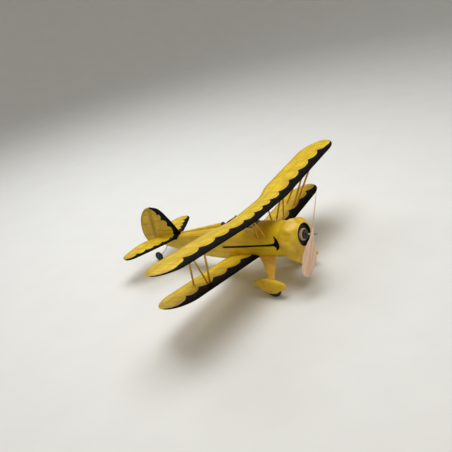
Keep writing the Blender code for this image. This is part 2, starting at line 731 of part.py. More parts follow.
def nose(datum):
    """Black plate in the cowl's throat, pale nose block, button, thrust tube and wire shaft."""
    plate_back = COWL_THROAT_X + GAP
    plate_front = plate_back + PLATE_THICKNESS
    plate_radius = COWL_THROAT_RADIUS - GAP
    paint(turned("engine_plate", ((plate_back, plate_radius), (plate_front, plate_radius)), SHAFT_BORE, datum,
                 sides=40), BLACK, 0.6)
    block_back = plate_front + GAP
    paint(turned("nose_block", (
        (block_back, NOSE_BLOCK_RADIUS), (NOSE_BLOCK_FRONT_X - NOSE_BLOCK_ROUND, NOSE_BLOCK_RADIUS),
        (NOSE_BLOCK_FRONT_X, NOSE_BLOCK_RADIUS - NOSE_BLOCK_ROUND)), SHAFT_BORE, datum),
        (0.60, 0.47, 0.28), 0.6)
    button_back = NOSE_BLOCK_FRONT_X + GAP
    button_front = button_back + NOSE_BUTTON_LENGTH
    paint(turned("nose_button", (
        (button_back, NOSE_BUTTON_RADIUS), (button_front - NOSE_BUTTON_ROUND, NOSE_BUTTON_RADIUS),
        (button_front, NOSE_BUTTON_RADIUS - NOSE_BUTTON_ROUND)), SHAFT_BORE, datum), BLACK, 0.35)
    tube_back = button_front + GAP
    tube_front = PROP_X - 5 * MM
    paint(turned("thrust_tube", ((tube_back, THRUST_TUBE_RADIUS), (tube_front, THRUST_TUBE_RADIUS)),
                 SHAFT_BORE, datum, sides=20), (0.7, 0.5, 0.2), 0.3, 1.0)
    paint(rod("prop_shaft", (SHAFT_REAR_X, 0, 0), (SHAFT_FRONT_X, 0, 0), SHAFT_RADIUS, datum),
          (0.35, 0.35, 0.36), 0.3, 1.0)


def spat_ring(x, top, bottom, half_width, side, grow):
    """One upright section of a wheel spat."""
    centre_z = 0.5 * (top + bottom) * MM
    half_height = 0.5 * (top - bottom) * MM + grow
    ring = []
    for index in range(24):
        angle = 2 * math.pi * index / 24
        ring.append((x * MM, side * WHEEL_Y + (half_width * MM + grow) * math.cos(angle),
                     centre_z + half_height * math.sin(angle)))
    return ring


def spat(name, side, datum, tools, grow=0.0):
    """Teardrop wheel spat, its tail high, open below round its wheel."""
    sections = smooth_line([Vector(section) for section in SPAT_SECTIONS], 2)
    rings = [spat_ring(*section, side, grow) for section in sections]
    return cut(loft(name, rings, datum), *tools)


def gear_leg(name, side, datum, tools):
    """Broad faired leg that curves from the fuselage's lower side down and out to the spat."""
    rings = []
    for index, (rear, front, y, z) in enumerate(LEG_ROWS):
        before = LEG_ROWS[max(0, index - 1)]
        after = LEG_ROWS[min(len(LEG_ROWS) - 1, index + 1)]
        down = Vector((after[2] - before[2], after[3] - before[3])).normalized()
        centre = 0.5 * (rear + front) * MM
        half = 0.5 * (front - rear) * MM
        ring = []
        for step in range(16):
            angle = 2 * math.pi * step / 16
            out = 0.5 * LEG_THICKNESS * math.sin(angle)
            ring.append((centre + half * math.cos(angle), side * (y * MM - out * down.y),
                         z * MM + out * down.x))
        rings.append(ring)
    return cut(loft(name, rings, datum), *tools)


def wheel(name, side, datum):
    """Main wheel with a rounded tyre and a plain hub, centred on its axle."""
    half = 0.5 * WHEEL_WIDTH
    profile = [(-half * 0.82, 6 * MM), (-half * 0.62, 7 * MM), (-half * 0.62, 10.5 * MM)]
    for step in range(7):
        angle = math.pi * (step / 6)
        profile.append((-half * math.cos(angle),
                        WHEEL_RADIUS - TYRE_ROUND + TYRE_ROUND * math.sin(angle)))
    profile += [(half * 0.62, 10.5 * MM), (half * 0.62, 7 * MM), (half * 0.82, 6 * MM)]
    return turned(name, profile, AXLE_RADIUS + GAP, datum, (WHEEL_X, side * WHEEL_Y, WHEEL_Z), 40, "y")


def main_gear(side_name, side, datum, fuselage_tool):
    """Leg, spat, wheel and axle of one side."""
    reach = WHEEL_RADIUS + WHEEL_CLEARANCE
    well_half = 0.5 * WHEEL_WIDTH + WHEEL_SIDE_CLEARANCE
    centre = (WHEEL_X, side * WHEEL_Y, WHEEL_Z)
    well = cutter(rod("wheel_well_cutter_" + side_name,
                      (centre[0], centre[1] - well_half, centre[2]),
                      (centre[0], centre[1] + well_half, centre[2]),
                      reach, datum, 48))
    bore = cutter(rod("axle_bore_cutter_" + side_name,
                      (centre[0], centre[1] - 20 * MM, centre[2]), (centre[0], centre[1] + 20 * MM, centre[2]),
                      AXLE_RADIUS + GAP, datum, 16))
    paint(spat("spat_" + side_name, side, datum, (well, bore)), YELLOW, 0.35)
    grown = cutter(spat("spat_cutter_" + side_name, side, datum, (), GAP))
    paint(gear_leg("gear_leg_" + side_name, side, datum, (fuselage_tool, grown)), (0.55, 0.30, 0.03), 0.4)
    paint(wheel("wheel_" + side_name, side, datum), BLACK, 0.7)
    axle_half = SPAT_HALF_WIDTH + AXLE_OVERHANG
    paint(rod("axle_" + side_name, (centre[0], centre[1] - axle_half, centre[2]),
              (centre[0], centre[1] + axle_half, centre[2]), AXLE_RADIUS, datum), (0.4, 0.4, 0.42), 0.3, 1.0)


def tail_gear(datum, fuselage_tool):
    """Tail wheel on a bent wire."""
    half = 0.5 * TAIL_WHEEL_WIDTH
    profile = [(-half * 0.55, 5 * MM), (-half, 7.2 * MM)]
    for step in range(5):
        angle = math.pi * (step / 4)
        profile.append((-half * math.cos(angle), TAIL_WHEEL_RADIUS - 2.4 * MM + 2.4 * MM * math.sin(angle)))
    profile += [(half, 7.2 * MM), (half * 0.55, 5 * MM)]
    centre = (TAIL_WHEEL_X, 0.0, TAIL_WHEEL_Z)
    paint(turned("tail_wheel", profile, TAIL_WIRE_RADIUS + GAP, datum, centre, 32, "y"), BLACK, 0.7)
    beside = half + 1.6 * MM
    route = [
        Vector((-331, 0, -17)) * MM,
        Vector((-343, 0, -29)) * MM,
        Vector((-353, 1.2, -37)) * MM,
        Vector((-365 * MM, beside - 0.6 * MM, -45 * MM)),
        Vector((TAIL_WHEEL_X + 2.5 * MM, beside + 0.5 * MM, TAIL_WHEEL_Z + 1.6 * MM)),
        Vector((TAIL_WHEEL_X, beside - 1.4 * MM, TAIL_WHEEL_Z)),
        Vector((TAIL_WHEEL_X, 0.0, TAIL_WHEEL_Z)),
        Vector((TAIL_WHEEL_X, -half - 1.2 * MM, TAIL_WHEEL_Z)),
    ]
    wire = tube("tail_wheel_wire", smooth_line(route, 4), TAIL_WIRE_RADIUS, datum, 10)
    paint(cut(wire, fuselage_tool), (0.35, 0.35, 0.36), 0.3, 1.0)


def stand_on_floor(datum):
    """Centre the model's box over the origin and set its lowest point on the floor."""
    bpy.context.view_layer.update()
    graph = bpy.context.evaluated_depsgraph_get()
    lowest = [math.inf] * 3
    highest = [-math.inf] * 3
    for thing in bpy.data.objects:
        if thing.type != "MESH" or thing.hide_render:
            continue
        shape = thing.evaluated_get(graph)
        for vertex in shape.data.vertices:
            place = shape.matrix_world @ vertex.co
            for axis in range(3):
                lowest[axis] = min(lowest[axis], place[axis])
                highest[axis] = max(highest[axis], place[axis])
    datum.location = (-0.5 * (lowest[0] + highest[0]), -0.5 * (lowest[1] + highest[1]), -lowest[2])
    bpy.context.view_layer.update()


def build():
    """Build the whole model."""
    clear_scene()
    datum = make_datum()
    body_tool = cutter(fuselage("fuselage_cutter", datum, GAP))
    upper_tool = cutter(upper_wing("upper_wing_cutter", datum, GAP))
    wells = (cockpit_cutter("front_cockpit_cutter", FRONT_COCKPIT_X, datum),
             cockpit_cutter("rear_cockpit_cutter", REAR_COCKPIT_X, datum))
    paint(cut(fuselage("fuselage", datum), *wells), YELLOW)
    paint(upper_wing("upper_wing", datum), YELLOW)
    for side_name, side in (("left", 1), ("right", -1)):
        paint(cut(lower_wing("lower_wing_" + side_name, side, datum), body_tool), YELLOW)
        lower_tool = cutter(lower_wing("lower_wing_cutter_" + side_name, side, datum, GAP))
        interplane_struts(side_name, side, datum, (upper_tool, lower_tool))
        cabane_struts(side_name, side, datum, (upper_tool, body_tool))
        paint(tailplane("tailplane_" + side_name, side, datum, body_tool), YELLOW)
        main_gear(side_name, side, datum, body_tool)
    for name, cockpit_x, top_z in (
        ("windscreen_front", FRONT_COCKPIT_X, FRONT_WINDSCREEN_TOP_Z),
        ("windscreen_rear", REAR_COCKPIT_X, REAR_WINDSCREEN_TOP_Z),
    ):
        paint(windscreen(name, cockpit_x, top_z, datum, body_tool), (0.8, 0.85, 0.85), 0.1)
    paint(headrest(datum, body_tool), (0.10, 0.04, 0.015), 0.6)
    paint(headrest_fairing(datum, body_tool), YELLOW)
    paint(fin(datum, body_tool), YELLOW)
    paint(rudder(datum, body_tool), YELLOW)
    paint(cowl(datum), YELLOW, 0.3)
    nose(datum)
    propeller(datum)
    tail_gear(datum, body_tool)
    stand_on_floor(datum)


build()
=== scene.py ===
"""Looks of a flying scale model of a two-seat open-cockpit biplane.

Each sub-assembly is drawn in the model's level frame, in millimetres: X forward from the upper
wing's leading edge, Y to the left wing tip, Z up from the propeller's axis. LevelFrame turns
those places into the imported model's parked frame, in metres.
"""
import json
import logging
import math
from collections.abc import Callable, Sequence
from dataclasses import dataclass
from enum import Enum

import bmesh
import bpy
import numpy as np
from mathutils import Matrix, Vector


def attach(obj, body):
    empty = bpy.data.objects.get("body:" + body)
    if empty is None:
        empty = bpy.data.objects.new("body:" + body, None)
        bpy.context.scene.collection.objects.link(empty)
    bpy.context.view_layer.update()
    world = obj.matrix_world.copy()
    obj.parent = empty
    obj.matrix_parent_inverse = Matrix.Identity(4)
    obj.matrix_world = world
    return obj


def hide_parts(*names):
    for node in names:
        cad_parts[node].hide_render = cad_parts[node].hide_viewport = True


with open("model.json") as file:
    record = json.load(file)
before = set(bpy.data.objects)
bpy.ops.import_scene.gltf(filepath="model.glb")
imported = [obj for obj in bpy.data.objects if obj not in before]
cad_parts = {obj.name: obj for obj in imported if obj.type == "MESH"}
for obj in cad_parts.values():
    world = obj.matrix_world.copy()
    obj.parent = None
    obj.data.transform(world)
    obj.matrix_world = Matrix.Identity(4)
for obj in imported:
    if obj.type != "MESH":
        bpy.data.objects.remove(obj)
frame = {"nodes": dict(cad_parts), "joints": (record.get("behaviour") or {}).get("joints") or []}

LOG = logging.getLogger("biplane")
MM = 0.001
PICTURE_PIXELS = 452

Points = np.ndarray
Marker = Callable[[Points], dict[str, np.ndarray]]


class Ends(Enum):
    """How a loft of rings is finished."""

    CAPPED = "both end rings are filled"
    JOINED = "the last ring meets the first"


class Slot(Enum):
    """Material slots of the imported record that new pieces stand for."""

    TISSUE = "yellow_tissue"
    PLASTIC = "yellow_plastic"
    WOOD = "yellow_wood"
    BARE_WOOD = "bare_wood"
    LEATHER = "brown_leather"
    CLEAR = "clear_sheet"
    BLACK = "black_plastic"
    RUBBER = "black_rubber"
    BRASS = "brass_tube"


class Body(Enum):
    """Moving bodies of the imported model."""

    AIRFRAME = "airframe"
    AIRSCREW = "airscrew"
    LEFT_WHEEL = "left_main_wheel"
    RIGHT_WHEEL = "right_main_wheel"
    TAIL_WHEEL = "rear_wheel"


class Side(Enum):
    """Side of the model, with the sign of Y there."""

    LEFT = 1
    RIGHT = -1

    @property
    def word(self) -> str:
        """Name of the side as the nodes give it."""
        return self.name.lower()


# Shapes


@dataclass
class Skin:
    """A closed mesh in level millimetres."""

    points: Points
    faces: list[tuple[int, ...]]


def smooth_line(rows: Sequence[Sequence[float]], per_span: int) -> Points:
    """Draw a Catmull-Rom curve through rows of numbers.

    Args:
        rows: The control rows, ends included in the curve.
        per_span: Steps between one row and the next.

    Returns:
        The rows of the curve.
    """
    knots = np.asarray(rows, dtype=float)
    padded = np.vstack([knots[:1], knots, knots[-1:]])
    t = np.arange(per_span)[:, None] / per_span
    parts = [
        0.5 * (2 * start + (end - before) * t + (2 * before - 5 * start + 4 * end - after) * t ** 2
               + (3 * start - before - 3 * end + after) * t ** 3)
        for before, start, end, after in zip(padded, padded[1:], padded[2:], padded[3:])
    ]
    return np.vstack([*parts, knots[-1:]])


def nearest_on_line(places: Points, line: Points) -> tuple[np.ndarray, np.ndarray]:
    """Find how far places lie from a line of points.

    Args:
        places: Places in the plane of the line.
        line: Points of the line, in order.

    Returns:
        Each place's distance, and how far along the line its nearest point is.
    """
    steps = np.diff(line, axis=0)
    sizes = np.maximum(np.linalg.norm(steps, axis=1), 1e-9)
    starts = np.concatenate([[0.0], np.cumsum(sizes)[:-1]])
    distance = np.full(len(places), np.inf)
    run = np.zeros(len(places))
    for origin, step, size, begun in zip(line, steps, sizes, starts):
        share = np.clip((places - origin) @ step / size ** 2, 0.0, 1.0)
        away = np.linalg.norm(places - origin - share[:, None] * step, axis=1)
        closer = away < distance
        distance[closer] = away[closer]
        run[closer] = begun + share[closer] * size
    return distance, run


def outline_distance(places: Points, outline: Points) -> np.ndarray:
    """Find signed distances to a closed outline, negative inside it.

    Args:
        places: Places in the plane of the outline.
        outline: Corner points, the last joined to the first.

    Returns:
        One signed distance for each place.
    """
    closed = np.vstack([outline, outline[:1]])
    distance, _ = nearest_on_line(places, closed)
    inside = np.zeros(len(places), dtype=bool)
    for (x0, z0), (x1, z1) in zip(closed, closed[1:]):
        if z0 == z1:
            continue
        crosses = (z0 > places[:, 1]) != (z1 > places[:, 1])
        inside ^= crosses & (places[:, 0] < x0 + (places[:, 1] - z0) * (x1 - x0) / (z1 - z0))
    return np.where(inside, -distance, distance)


def smooth_step(values: np.ndarray, low: float, high: float) -> np.ndarray:
    """Rise smoothly from 0 at low to 1 at high.

    Args:
        values: Where to read the rise.
        low: Value that gives 0.
        high: Value that gives 1.

    Returns:
        The rise for each value.
    """
    share = np.clip((values - low) / (high - low), 0.0, 1.0)
    return share * share * (3 - 2 * share)


def loft(rings: Points, ends: Ends = Ends.CAPPED) -> Skin:
    """Skin through rings of equally many points.

    Args:
        rings: Array of rings, each an array of places.
        ends: How the first and last ring are finished.

    Returns:
        The closed skin.
    """
    rows, count, _ = rings.shape
    faces = []
    for row in range(rows if ends is Ends.JOINED else rows - 1):
        near, far = row * count, (row + 1) % rows * count
        for index in range(count):
            after = (index + 1) % count
            faces.append((near + index, near + after, far + after, far + index))
    if ends is Ends.CAPPED:
        faces.append(tuple(range(count)))
        faces.append(tuple(range((rows - 1) * count, rows * count)))
    return Skin(rings.reshape(-1, 3), faces)


def turned(profile: Sequence[tuple[float, float]], centre: Sequence[float], axis: str,
           sides: int = 96) -> Skin:
    """Turn a closed outline about an axis.

    Args:
        profile: Outline points of (along, radius), closed back to the first.
        centre: Middle of the turning.
        axis: "x" or "y".
        sides: Steps round the axis.

    Returns:
        The turned skin.
    """
    along, radius = np.asarray(profile, dtype=float).T
    turn = 2 * math.pi * np.arange(sides) / sides
    across = radius[:, None] * np.cos(turn)
    upward = radius[:, None] * np.sin(turn)
    lengthwise = np.repeat(along[:, None], sides, axis=1)
    order = (lengthwise, across, upward) if axis == "x" else (across, lengthwise, upward)
    return loft(np.stack(order, axis=-1) + np.asarray(centre, dtype=float), Ends.JOINED)


def tube(path: Points, radius: float, ends: Ends, sides: int = 16, flat: float = 1.0) -> Skin:
    """Round or flattened tube along a path.

    Args:
        path: Middle line of the tube.
        radius: Its radius, or half its width across the upright.
        ends: Whether the path is closed.
        sides: Steps round the tube.
        flat: Height as a share of width.

    Returns:
        The tube's skin.
    """
    if ends is Ends.JOINED:
        along = np.roll(path, -1, axis=0) - np.roll(path, 1, axis=0)
    else:
        along = np.gradient(path, axis=0)
    along /= np.linalg.norm(along, axis=1)[:, None]
    side = np.cross(along, (0.0, 0.0, 1.0))
    side /= np.linalg.norm(side, axis=1)[:, None]
    other = np.cross(side, along)
    turn = 2 * math.pi * np.arange(sides) / sides
    rings = (path[:, None, :] + radius * np.cos(turn)[None, :, None] * side[:, None, :]
             + radius * flat * np.sin(turn)[None, :, None] * other[:, None, :])
    return loft(rings, ends)


class LevelFrame:
    """The level drawing frame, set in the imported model's parked frame by the propeller's axis."""

    def __init__(self, hub: Sequence[float], axis: Sequence[float], hub_x: float) -> None:
        """Set the frame.

        Args:
            hub: Place of the propeller's hub, in metres.
            axis: Direction of the propeller's axis, forward.
            hub_x: Level X of the hub, in millimetres.
        """
        self.forward = np.asarray(axis, dtype=float)
        self.port = np.array([0.0, 1.0, 0.0])
        self.up = np.array([-self.forward[2], 0.0, self.forward[0]])
        self.origin = np.asarray(hub, dtype=float) - hub_x * MM * self.forward

    def directions(self, level: Points) -> Points:
        """Turn level directions into the parked frame's."""
        return level[..., :1] * self.forward + level[..., 1:2] * self.port + level[..., 2:3] * self.up

    def places(self, level: Points) -> Points:
        """Turn level millimetres into parked metres."""
        return self.origin + self.directions(level) * MM


class Workshop:
    """Makes the pieces: meshes in the parked frame, dressed and set on their bodies."""

    def __init__(self, level: LevelFrame) -> None:
        """Keep the drawing frame that every piece uses."""
        self.level = level

    def shape(self, name: str, skin: Skin) -> bpy.types.Object:
        """Make an undressed object from a skin.

        Args:
            name: Name of the object.
            skin: Its closed mesh in level millimetres.

        Returns:
            The new object, linked to the scene.
        """
        mesh = bpy.data.meshes.new(name)
        mesh.from_pydata(self.level.places(skin.points).tolist(), [], skin.faces)
        shape = bmesh.new()
        shape.from_mesh(mesh)
        bmesh.ops.recalc_face_normals(shape, faces=shape.faces)
        shape.to_mesh(mesh)
        shape.free()
        piece = bpy.data.objects.new(name, mesh)
        bpy.context.scene.collection.objects.link(piece)
        return piece

    def add(self, name: str, skin: Skin, finish: "Finish", slot: Slot, replaces: Sequence[str] = (),
            body: Body = Body.AIRFRAME, marker: Marker | None = None, sharp: float = 40.0,
            wells: Sequence[tuple[Skin, "Finish"]] = ()) -> bpy.types.Object:
        """Make, cut, dress and mount one piece.

        Args:
            name: Name of the piece.
            skin: Its closed mesh in level millimetres.
            finish: Its finish.
            slot: The record's material slot it stands for; not used.
            replaces: CAD nodes it stands for.
            body: Body it rides on.
            marker: Works out the piece's paint and wood distances from its level points.
            sharp: Angle in degrees above which an edge stays sharp.
            wells: Skins cut out of it, each with the finish of its lining.

        Returns:
            The finished piece.
        """
        piece = self.shape(name, skin)
        piece.data.materials.append(finish.material())
        if marker:
            for label, values in marker(skin.points).items():
                attribute = piece.data.attributes.new(label, "FLOAT", "POINT")
                attribute.data.foreach_set("value", values.astype(np.float32))
        for well, lining in wells:
            self.cut(piece, well, lining)
        piece.data.shade_smooth()
        piece.data.set_sharp_from_angle(angle=math.radians(sharp))
        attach(piece, body.value)
        if replaces:
            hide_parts(*replaces)
        LOG.info("%s: %d points, %d faces", name, len(piece.data.vertices), len(piece.data.polygons))
        return piece

    def cut(self, piece: bpy.types.Object, well: Skin, lining: "Finish") -> None:
        """Cut a well out of a piece and line it.

        Args:
            piece: The piece to cut.
            well: The space to take out.
            lining: Finish of the faces the cut leaves.
        """
        tool = self.shape(piece.name + "_well", well)
        tool.data.materials.append(lining.material())
        modifier = piece.modifiers.new("well", "BOOLEAN")
        modifier.operation = "DIFFERENCE"
        modifier.solver = "EXACT"
        modifier.material_mode = "TRANSFER"
        modifier.object = tool
        bpy.context.view_layer.update()
        evaluated = piece.evaluated_get(bpy.context.evaluated_depsgraph_get())
        mesh = bpy.data.meshes.new_from_object(evaluated)
        piece.modifiers.clear()
        piece.data = mesh
        bpy.data.objects.remove(tool, do_unlink=True)

    def dress(self, node: str, finish: "Finish") -> None:
        """Give a CAD node that stays its finish.

        Args:
            node: Name of the node.
            finish: Its finish.
        """
        for material_slot in frame["nodes"][node].material_slots:
            material_slot.material = finish.material()
        LOG.info("%s: kept, with %s", node, finish.name)


# Finishes

SMOOTH = {"interpolation_type": "SMOOTHSTEP"}
COLOUR_MIX = {"data_type": "RGBA"}
MULTIPLY_ADD = {"operation": "MULTIPLY_ADD"}


def linear(colour: str) -> tuple[float, float, float, float]:
    """Turn an sRGB hex colour into linear values.

    Args:
        colour: Six hex digits after a hash sign.

    Returns:
        Red, green, blue and alpha.
    """
    parts = [int(colour[place:place + 2], 16) / 255 for place in (1, 3, 5)]
    return (*(part / 12.92 if part <= 0.04045 else ((part + 0.055) / 1.055) ** 2.4 for part in parts), 1.0)


def add_node(tree: bpy.types.NodeTree, kind: str, settings: dict[str, object] | None = None,
             inputs: dict[str | int, object] | None = None) -> bpy.types.Node:
    """Add one node with its settings and links.

    Args:
        tree: The material's node tree.
        kind: The node's type, without the leading "ShaderNode".
        settings: The node's own properties.
        inputs: Socket values, or the outputs linked to them.

    Returns:
        The new node.
    """
    node = tree.nodes.new("ShaderNode" + kind)
    for label, value in (settings or {}).items():
        setattr(node, label, value)
    for label, value in (inputs or {}).items():
        if isinstance(value, bpy.types.NodeSocket):
            tree.links.new(value, node.inputs[label])
        else:
            node.inputs[label].default_value = value
    return node


def millimetres(tree: bpy.types.NodeTree, stretch: Sequence[float] = (1.0, 1.0, 1.0)) -> bpy.types.NodeSocket:
    """Read the object's own coordinates in millimetres.

    Args:
        tree: The material's node tree.
        stretch: Factors along the three axes.

    Returns:
        The coordinates.
    """
    place = add_node(tree, "TexCoord").outputs["Object"]
    scale = tuple(1000 * factor for factor in stretch)
    return add_node(tree, "Mapping", None, {"Vector": place, "Scale": scale}).outputs["Vector"]


@dataclass(frozen=True)
class Mottle:
    """Blotches of one real size, with finer ones inside them, stretched along some axes."""

    size_mm: float
    detail: float = 3.0
    stretch: Sequence[float] = (1.0, 1.0, 1.0)

    def values(self, tree: bpy.types.NodeTree,
               place: bpy.types.NodeSocket | None = None) -> bpy.types.NodeSocket:
        """Read the blotches.

        Args:
            tree: The material's node tree.
            place: Coordinates in millimetres, when they aren't the object's own.

        Returns:
            Values from 0 to 1.
        """
        return add_node(tree, "TexNoise", None, {
            "Vector": place or millimetres(tree, self.stretch), "Scale": 1 / self.size_mm,
            "Detail": self.detail}).outputs["Fac"]


@dataclass(frozen=True)
class Tint:
    """A colour laid over another, its share led by a pattern that passes from start to end."""

    start: float
    end: float
    colour: str
    first: float = 0.0
    last: float = 1.0

    def over(self, tree: bpy.types.NodeTree, pattern: bpy.types.NodeSocket,
             under: object) -> bpy.types.NodeSocket:
        """Lay the colour.

        Args:
            tree: The material's node tree.
            pattern: The pattern that leads it.
            under: Colour or socket under it.

        Returns:
            The joined colour.
        """
        share = add_node(tree, "MapRange", SMOOTH, {
            "Value": pattern, "From Min": self.start, "From Max": self.end,
            "To Min": self.first, "To Max": self.last}).outputs["Result"]
        return add_node(tree, "Mix", COLOUR_MIX, {0: share, 6: under, 7: linear(self.colour)}).outputs[2]


@dataclass(frozen=True)
class Finish:
    """A finish: its real material and how that was made. Each kind paints its own nodes."""

    name: str
    roughness: float
    ior: float = 1.5

    def material(self) -> bpy.types.Material:
        """Give the finish's material, made the first time it is asked for."""
        material = bpy.data.materials.get(self.name)
        if material:
            return material
        material = bpy.data.materials.new(self.name)
        material.use_nodes = True
        tree = material.node_tree
        tree.nodes.clear()
        shader = add_node(tree, "BsdfPrincipled", None, {"Roughness": self.roughness, "IOR": self.ior})
        add_node(tree, "OutputMaterial", None, {"Surface": shader.outputs["BSDF"]})
        self.paint(tree, shader)
        return material

    def paint(self, tree: bpy.types.NodeTree, shader: bpy.types.Node) -> None:
        """Add the nodes of this kind of finish.

        Args:
            tree: The material's node tree.
            shader: Its Principled shader.
        """
        raise NotImplementedError

    def wear(self, tree: bpy.types.NodeTree, shader: bpy.types.Node, pattern: bpy.types.NodeSocket,
             span: tuple[float, float], change: tuple[float, float]) -> bpy.types.NodeSocket:
        """Let the roughness follow a pattern.

        Args:
            tree: The material's node tree.
            shader: Its Principled shader.
            pattern: The pattern read.
            span: Where the pattern starts and ends.
            change: What is added to the finish's roughness at the start and at the end.

        Returns:
            The roughness.
        """
        rough = add_node(tree, "MapRange", SMOOTH, {
            "Value": pattern, "From Min": span[0], "From Max": span[1],
            "To Min": self.roughness + change[0], "To Max": self.roughness + change[1]}).outputs["Result"]
        tree.links.new(rough, shader.inputs["Roughness"])
        return rough

    @staticmethod
    def relief(tree: bpy.types.NodeTree, shader: bpy.types.Node,
               layers: Sequence[tuple[bpy.types.NodeSocket, float]]) -> None:
        """Stack heights on the shader's normal.

        Args:
            tree: The material's node tree.
            shader: The Principled shader.
            layers: Heights from 0 to 1, each with its depth in millimetres.
        """
        normal = None
        for height, depth in layers:
            inputs = {"Height": height, "Strength": 1.0, "Distance": depth * MM}
            if normal:
                inputs["Normal"] = normal
            normal = add_node(tree, "Bump", None, inputs).outputs["Normal"]
        tree.links.new(normal, shader.inputs["Normal"])


@dataclass(frozen=True)
class DopedTissue(Finish):
    """Model tissue shrunk over a light wooden frame and coloured with dope.

    It is satin, shows painted shadow of the wood under it as a darker tint with a soft edge,
    and carries the black trim, whose sprayed edge is sharp to about 0.5 mm.
    """

    pale: str = "#E1C11C"
    deep: str = "#CDA612"
    # Colour of the painted shadow of the wooden frame seen through the tissue
    frame_shadow: str = "#A8820B"
    trim: str = "#070604"
    fibre_mm: float = 1.1
    cloud_mm: float = 26.0
    sprayed_edge_mm: tuple[float, float] = (0.2, 0.7)
    hand_wobble_mm: float = 0.9

    def paint(self, tree: bpy.types.NodeTree, shader: bpy.types.Node) -> None:
        """Lay tissue, wood shadow and trim.

        Args:
            tree: The material's node tree.
            shader: Its Principled shader.
        """
        # Real fibres are about 0.05 mm wide, so they are drawn as coarse as the render can show
        fibres = Mottle(self.fibre_mm, 5.0, (1.0, 0.3, 1.0)).values(tree)
        clouds = Mottle(self.cloud_mm, 2.0).values(tree)
        wobble = Mottle(3.0, 2.0).values(tree)
        wood = add_node(tree, "Attribute", {"attribute_name": "wood"}).outputs["Fac"]
        trim = add_node(tree, "Attribute", {"attribute_name": "trim"}).outputs["Fac"]
        moved = add_node(tree, "Math", MULTIPLY_ADD, {0: wobble, 1: self.hand_wobble_mm, 2: trim}).outputs[0]
        painted = add_node(tree, "MapRange", SMOOTH, {
            "Value": moved, "From Min": self.sprayed_edge_mm[0], "From Max": self.sprayed_edge_mm[1],
            "To Min": 1.0, "To Max": 0.0}).outputs["Result"]
        tissue = Tint(0.35, 0.68, self.deep).over(tree, clouds, linear(self.pale))
        specks = Tint(0.55, 0.8, self.deep, 0.0, 0.22).over(tree, fibres, tissue)
        # Painted shadow of the ribs, spars and stringers: darker over the wood, fading within 1.8 mm of it
        frame_shaded = Tint(-0.6, 1.8, self.frame_shadow, 0.5, 0.0).over(tree, wood, specks)
        colour = add_node(tree, "Mix", COLOUR_MIX, {0: painted, 6: frame_shaded, 7: linear(self.trim)}).outputs[2]
        tree.links.new(colour, shader.inputs["Base Color"])
        satin = self.wear(tree, shader, fibres, (0.3, 0.7), (-0.07, 0.08))
        # The trim's paint is duller than the dope
        dull = add_node(tree, "Math", MULTIPLY_ADD, {0: painted, 1: 0.16, 2: satin}).outputs[0]
        tree.links.new(dull, shader.inputs["Roughness"])
        shine = add_node(tree, "MapRange", SMOOTH, {"Value": painted, "To Min": 0.3, "To Max": 0.07})
        tree.links.new(shine.outputs["Result"], shader.inputs["Specular IOR Level"])
        shader.inputs["Subsurface Weight"].default_value = 0.08
        shader.inputs["Subsurface Radius"].default_value = (1.0, 0.6, 0.15)
        shader.inputs["Subsurface Scale"].default_value = 2.5 * MM
        self.relief(tree, shader, ((fibres, 0.05), (clouds, 0.5), (painted, 0.03)))


@dataclass(frozen=True)
class FormedPlastic(Finish):
    """Styrene sheet vacuum-formed and painted: satin, faintly uneven, with a thin glued seam."""

    pale: str = "#DEB81A"
    deep: str = "#CFA50E"
    seam: str = "#B4860C"
    worn: str = "#E8CC5A"
    # Black for the cowl's throat: painted shade
    trim: str = "#050504"

    def paint(self, tree: bpy.types.NodeTree, shader: bpy.types.Node) -> None:
        """Lay paint, seam and the black trim, which on the cowl is painted shade inside its throat.

        Args:
            tree: The material's node tree.
            shader: Its Principled shader.
        """
        blotches = Mottle(14.0).values(tree)
        # Orange peel is about 0.6 mm across and is drawn at 1.4 mm so that it shows
        peel = Mottle(1.4, 1.0).values(tree)
        dust = Mottle(0.7, 6.0).values(tree)
        join = add_node(tree, "Attribute", {"attribute_name": "wood"}).outputs["Fac"]
        trim = add_node(tree, "Attribute", {"attribute_name": "trim"}).outputs["Fac"]
        joined = add_node(tree, "MapRange", SMOOTH, {
            "Value": join, "From Min": 0.1, "From Max": 0.7, "To Min": 1.0, "To Max": 0.0}).outputs["Result"]
        paint = Tint(0.35, 0.7, self.deep).over(tree, blotches, linear(self.pale))
        rubbed = Tint(0.62, 0.8, self.worn, 0.0, 0.25).over(tree, dust, paint)
        seamed = Tint(0.1, 0.7, self.seam, 0.75, 0.0).over(tree, join, rubbed)
        # Black inside the cowl's throat is painted shade
        colour = Tint(-0.2, 0.2, self.trim, 1.0, 0.0).over(tree, trim, seamed)
        tree.links.new(colour, shader.inputs["Base Color"])
        self.wear(tree, shader, dust, (0.3, 0.75), (0.0, 0.16))
        shader.inputs["Coat Weight"].default_value = 0.12
        shader.inputs["Coat Roughness"].default_value = 0.25
        self.relief(tree, shader, ((peel, 0.02), (blotches, 0.08), (joined, -0.08)))


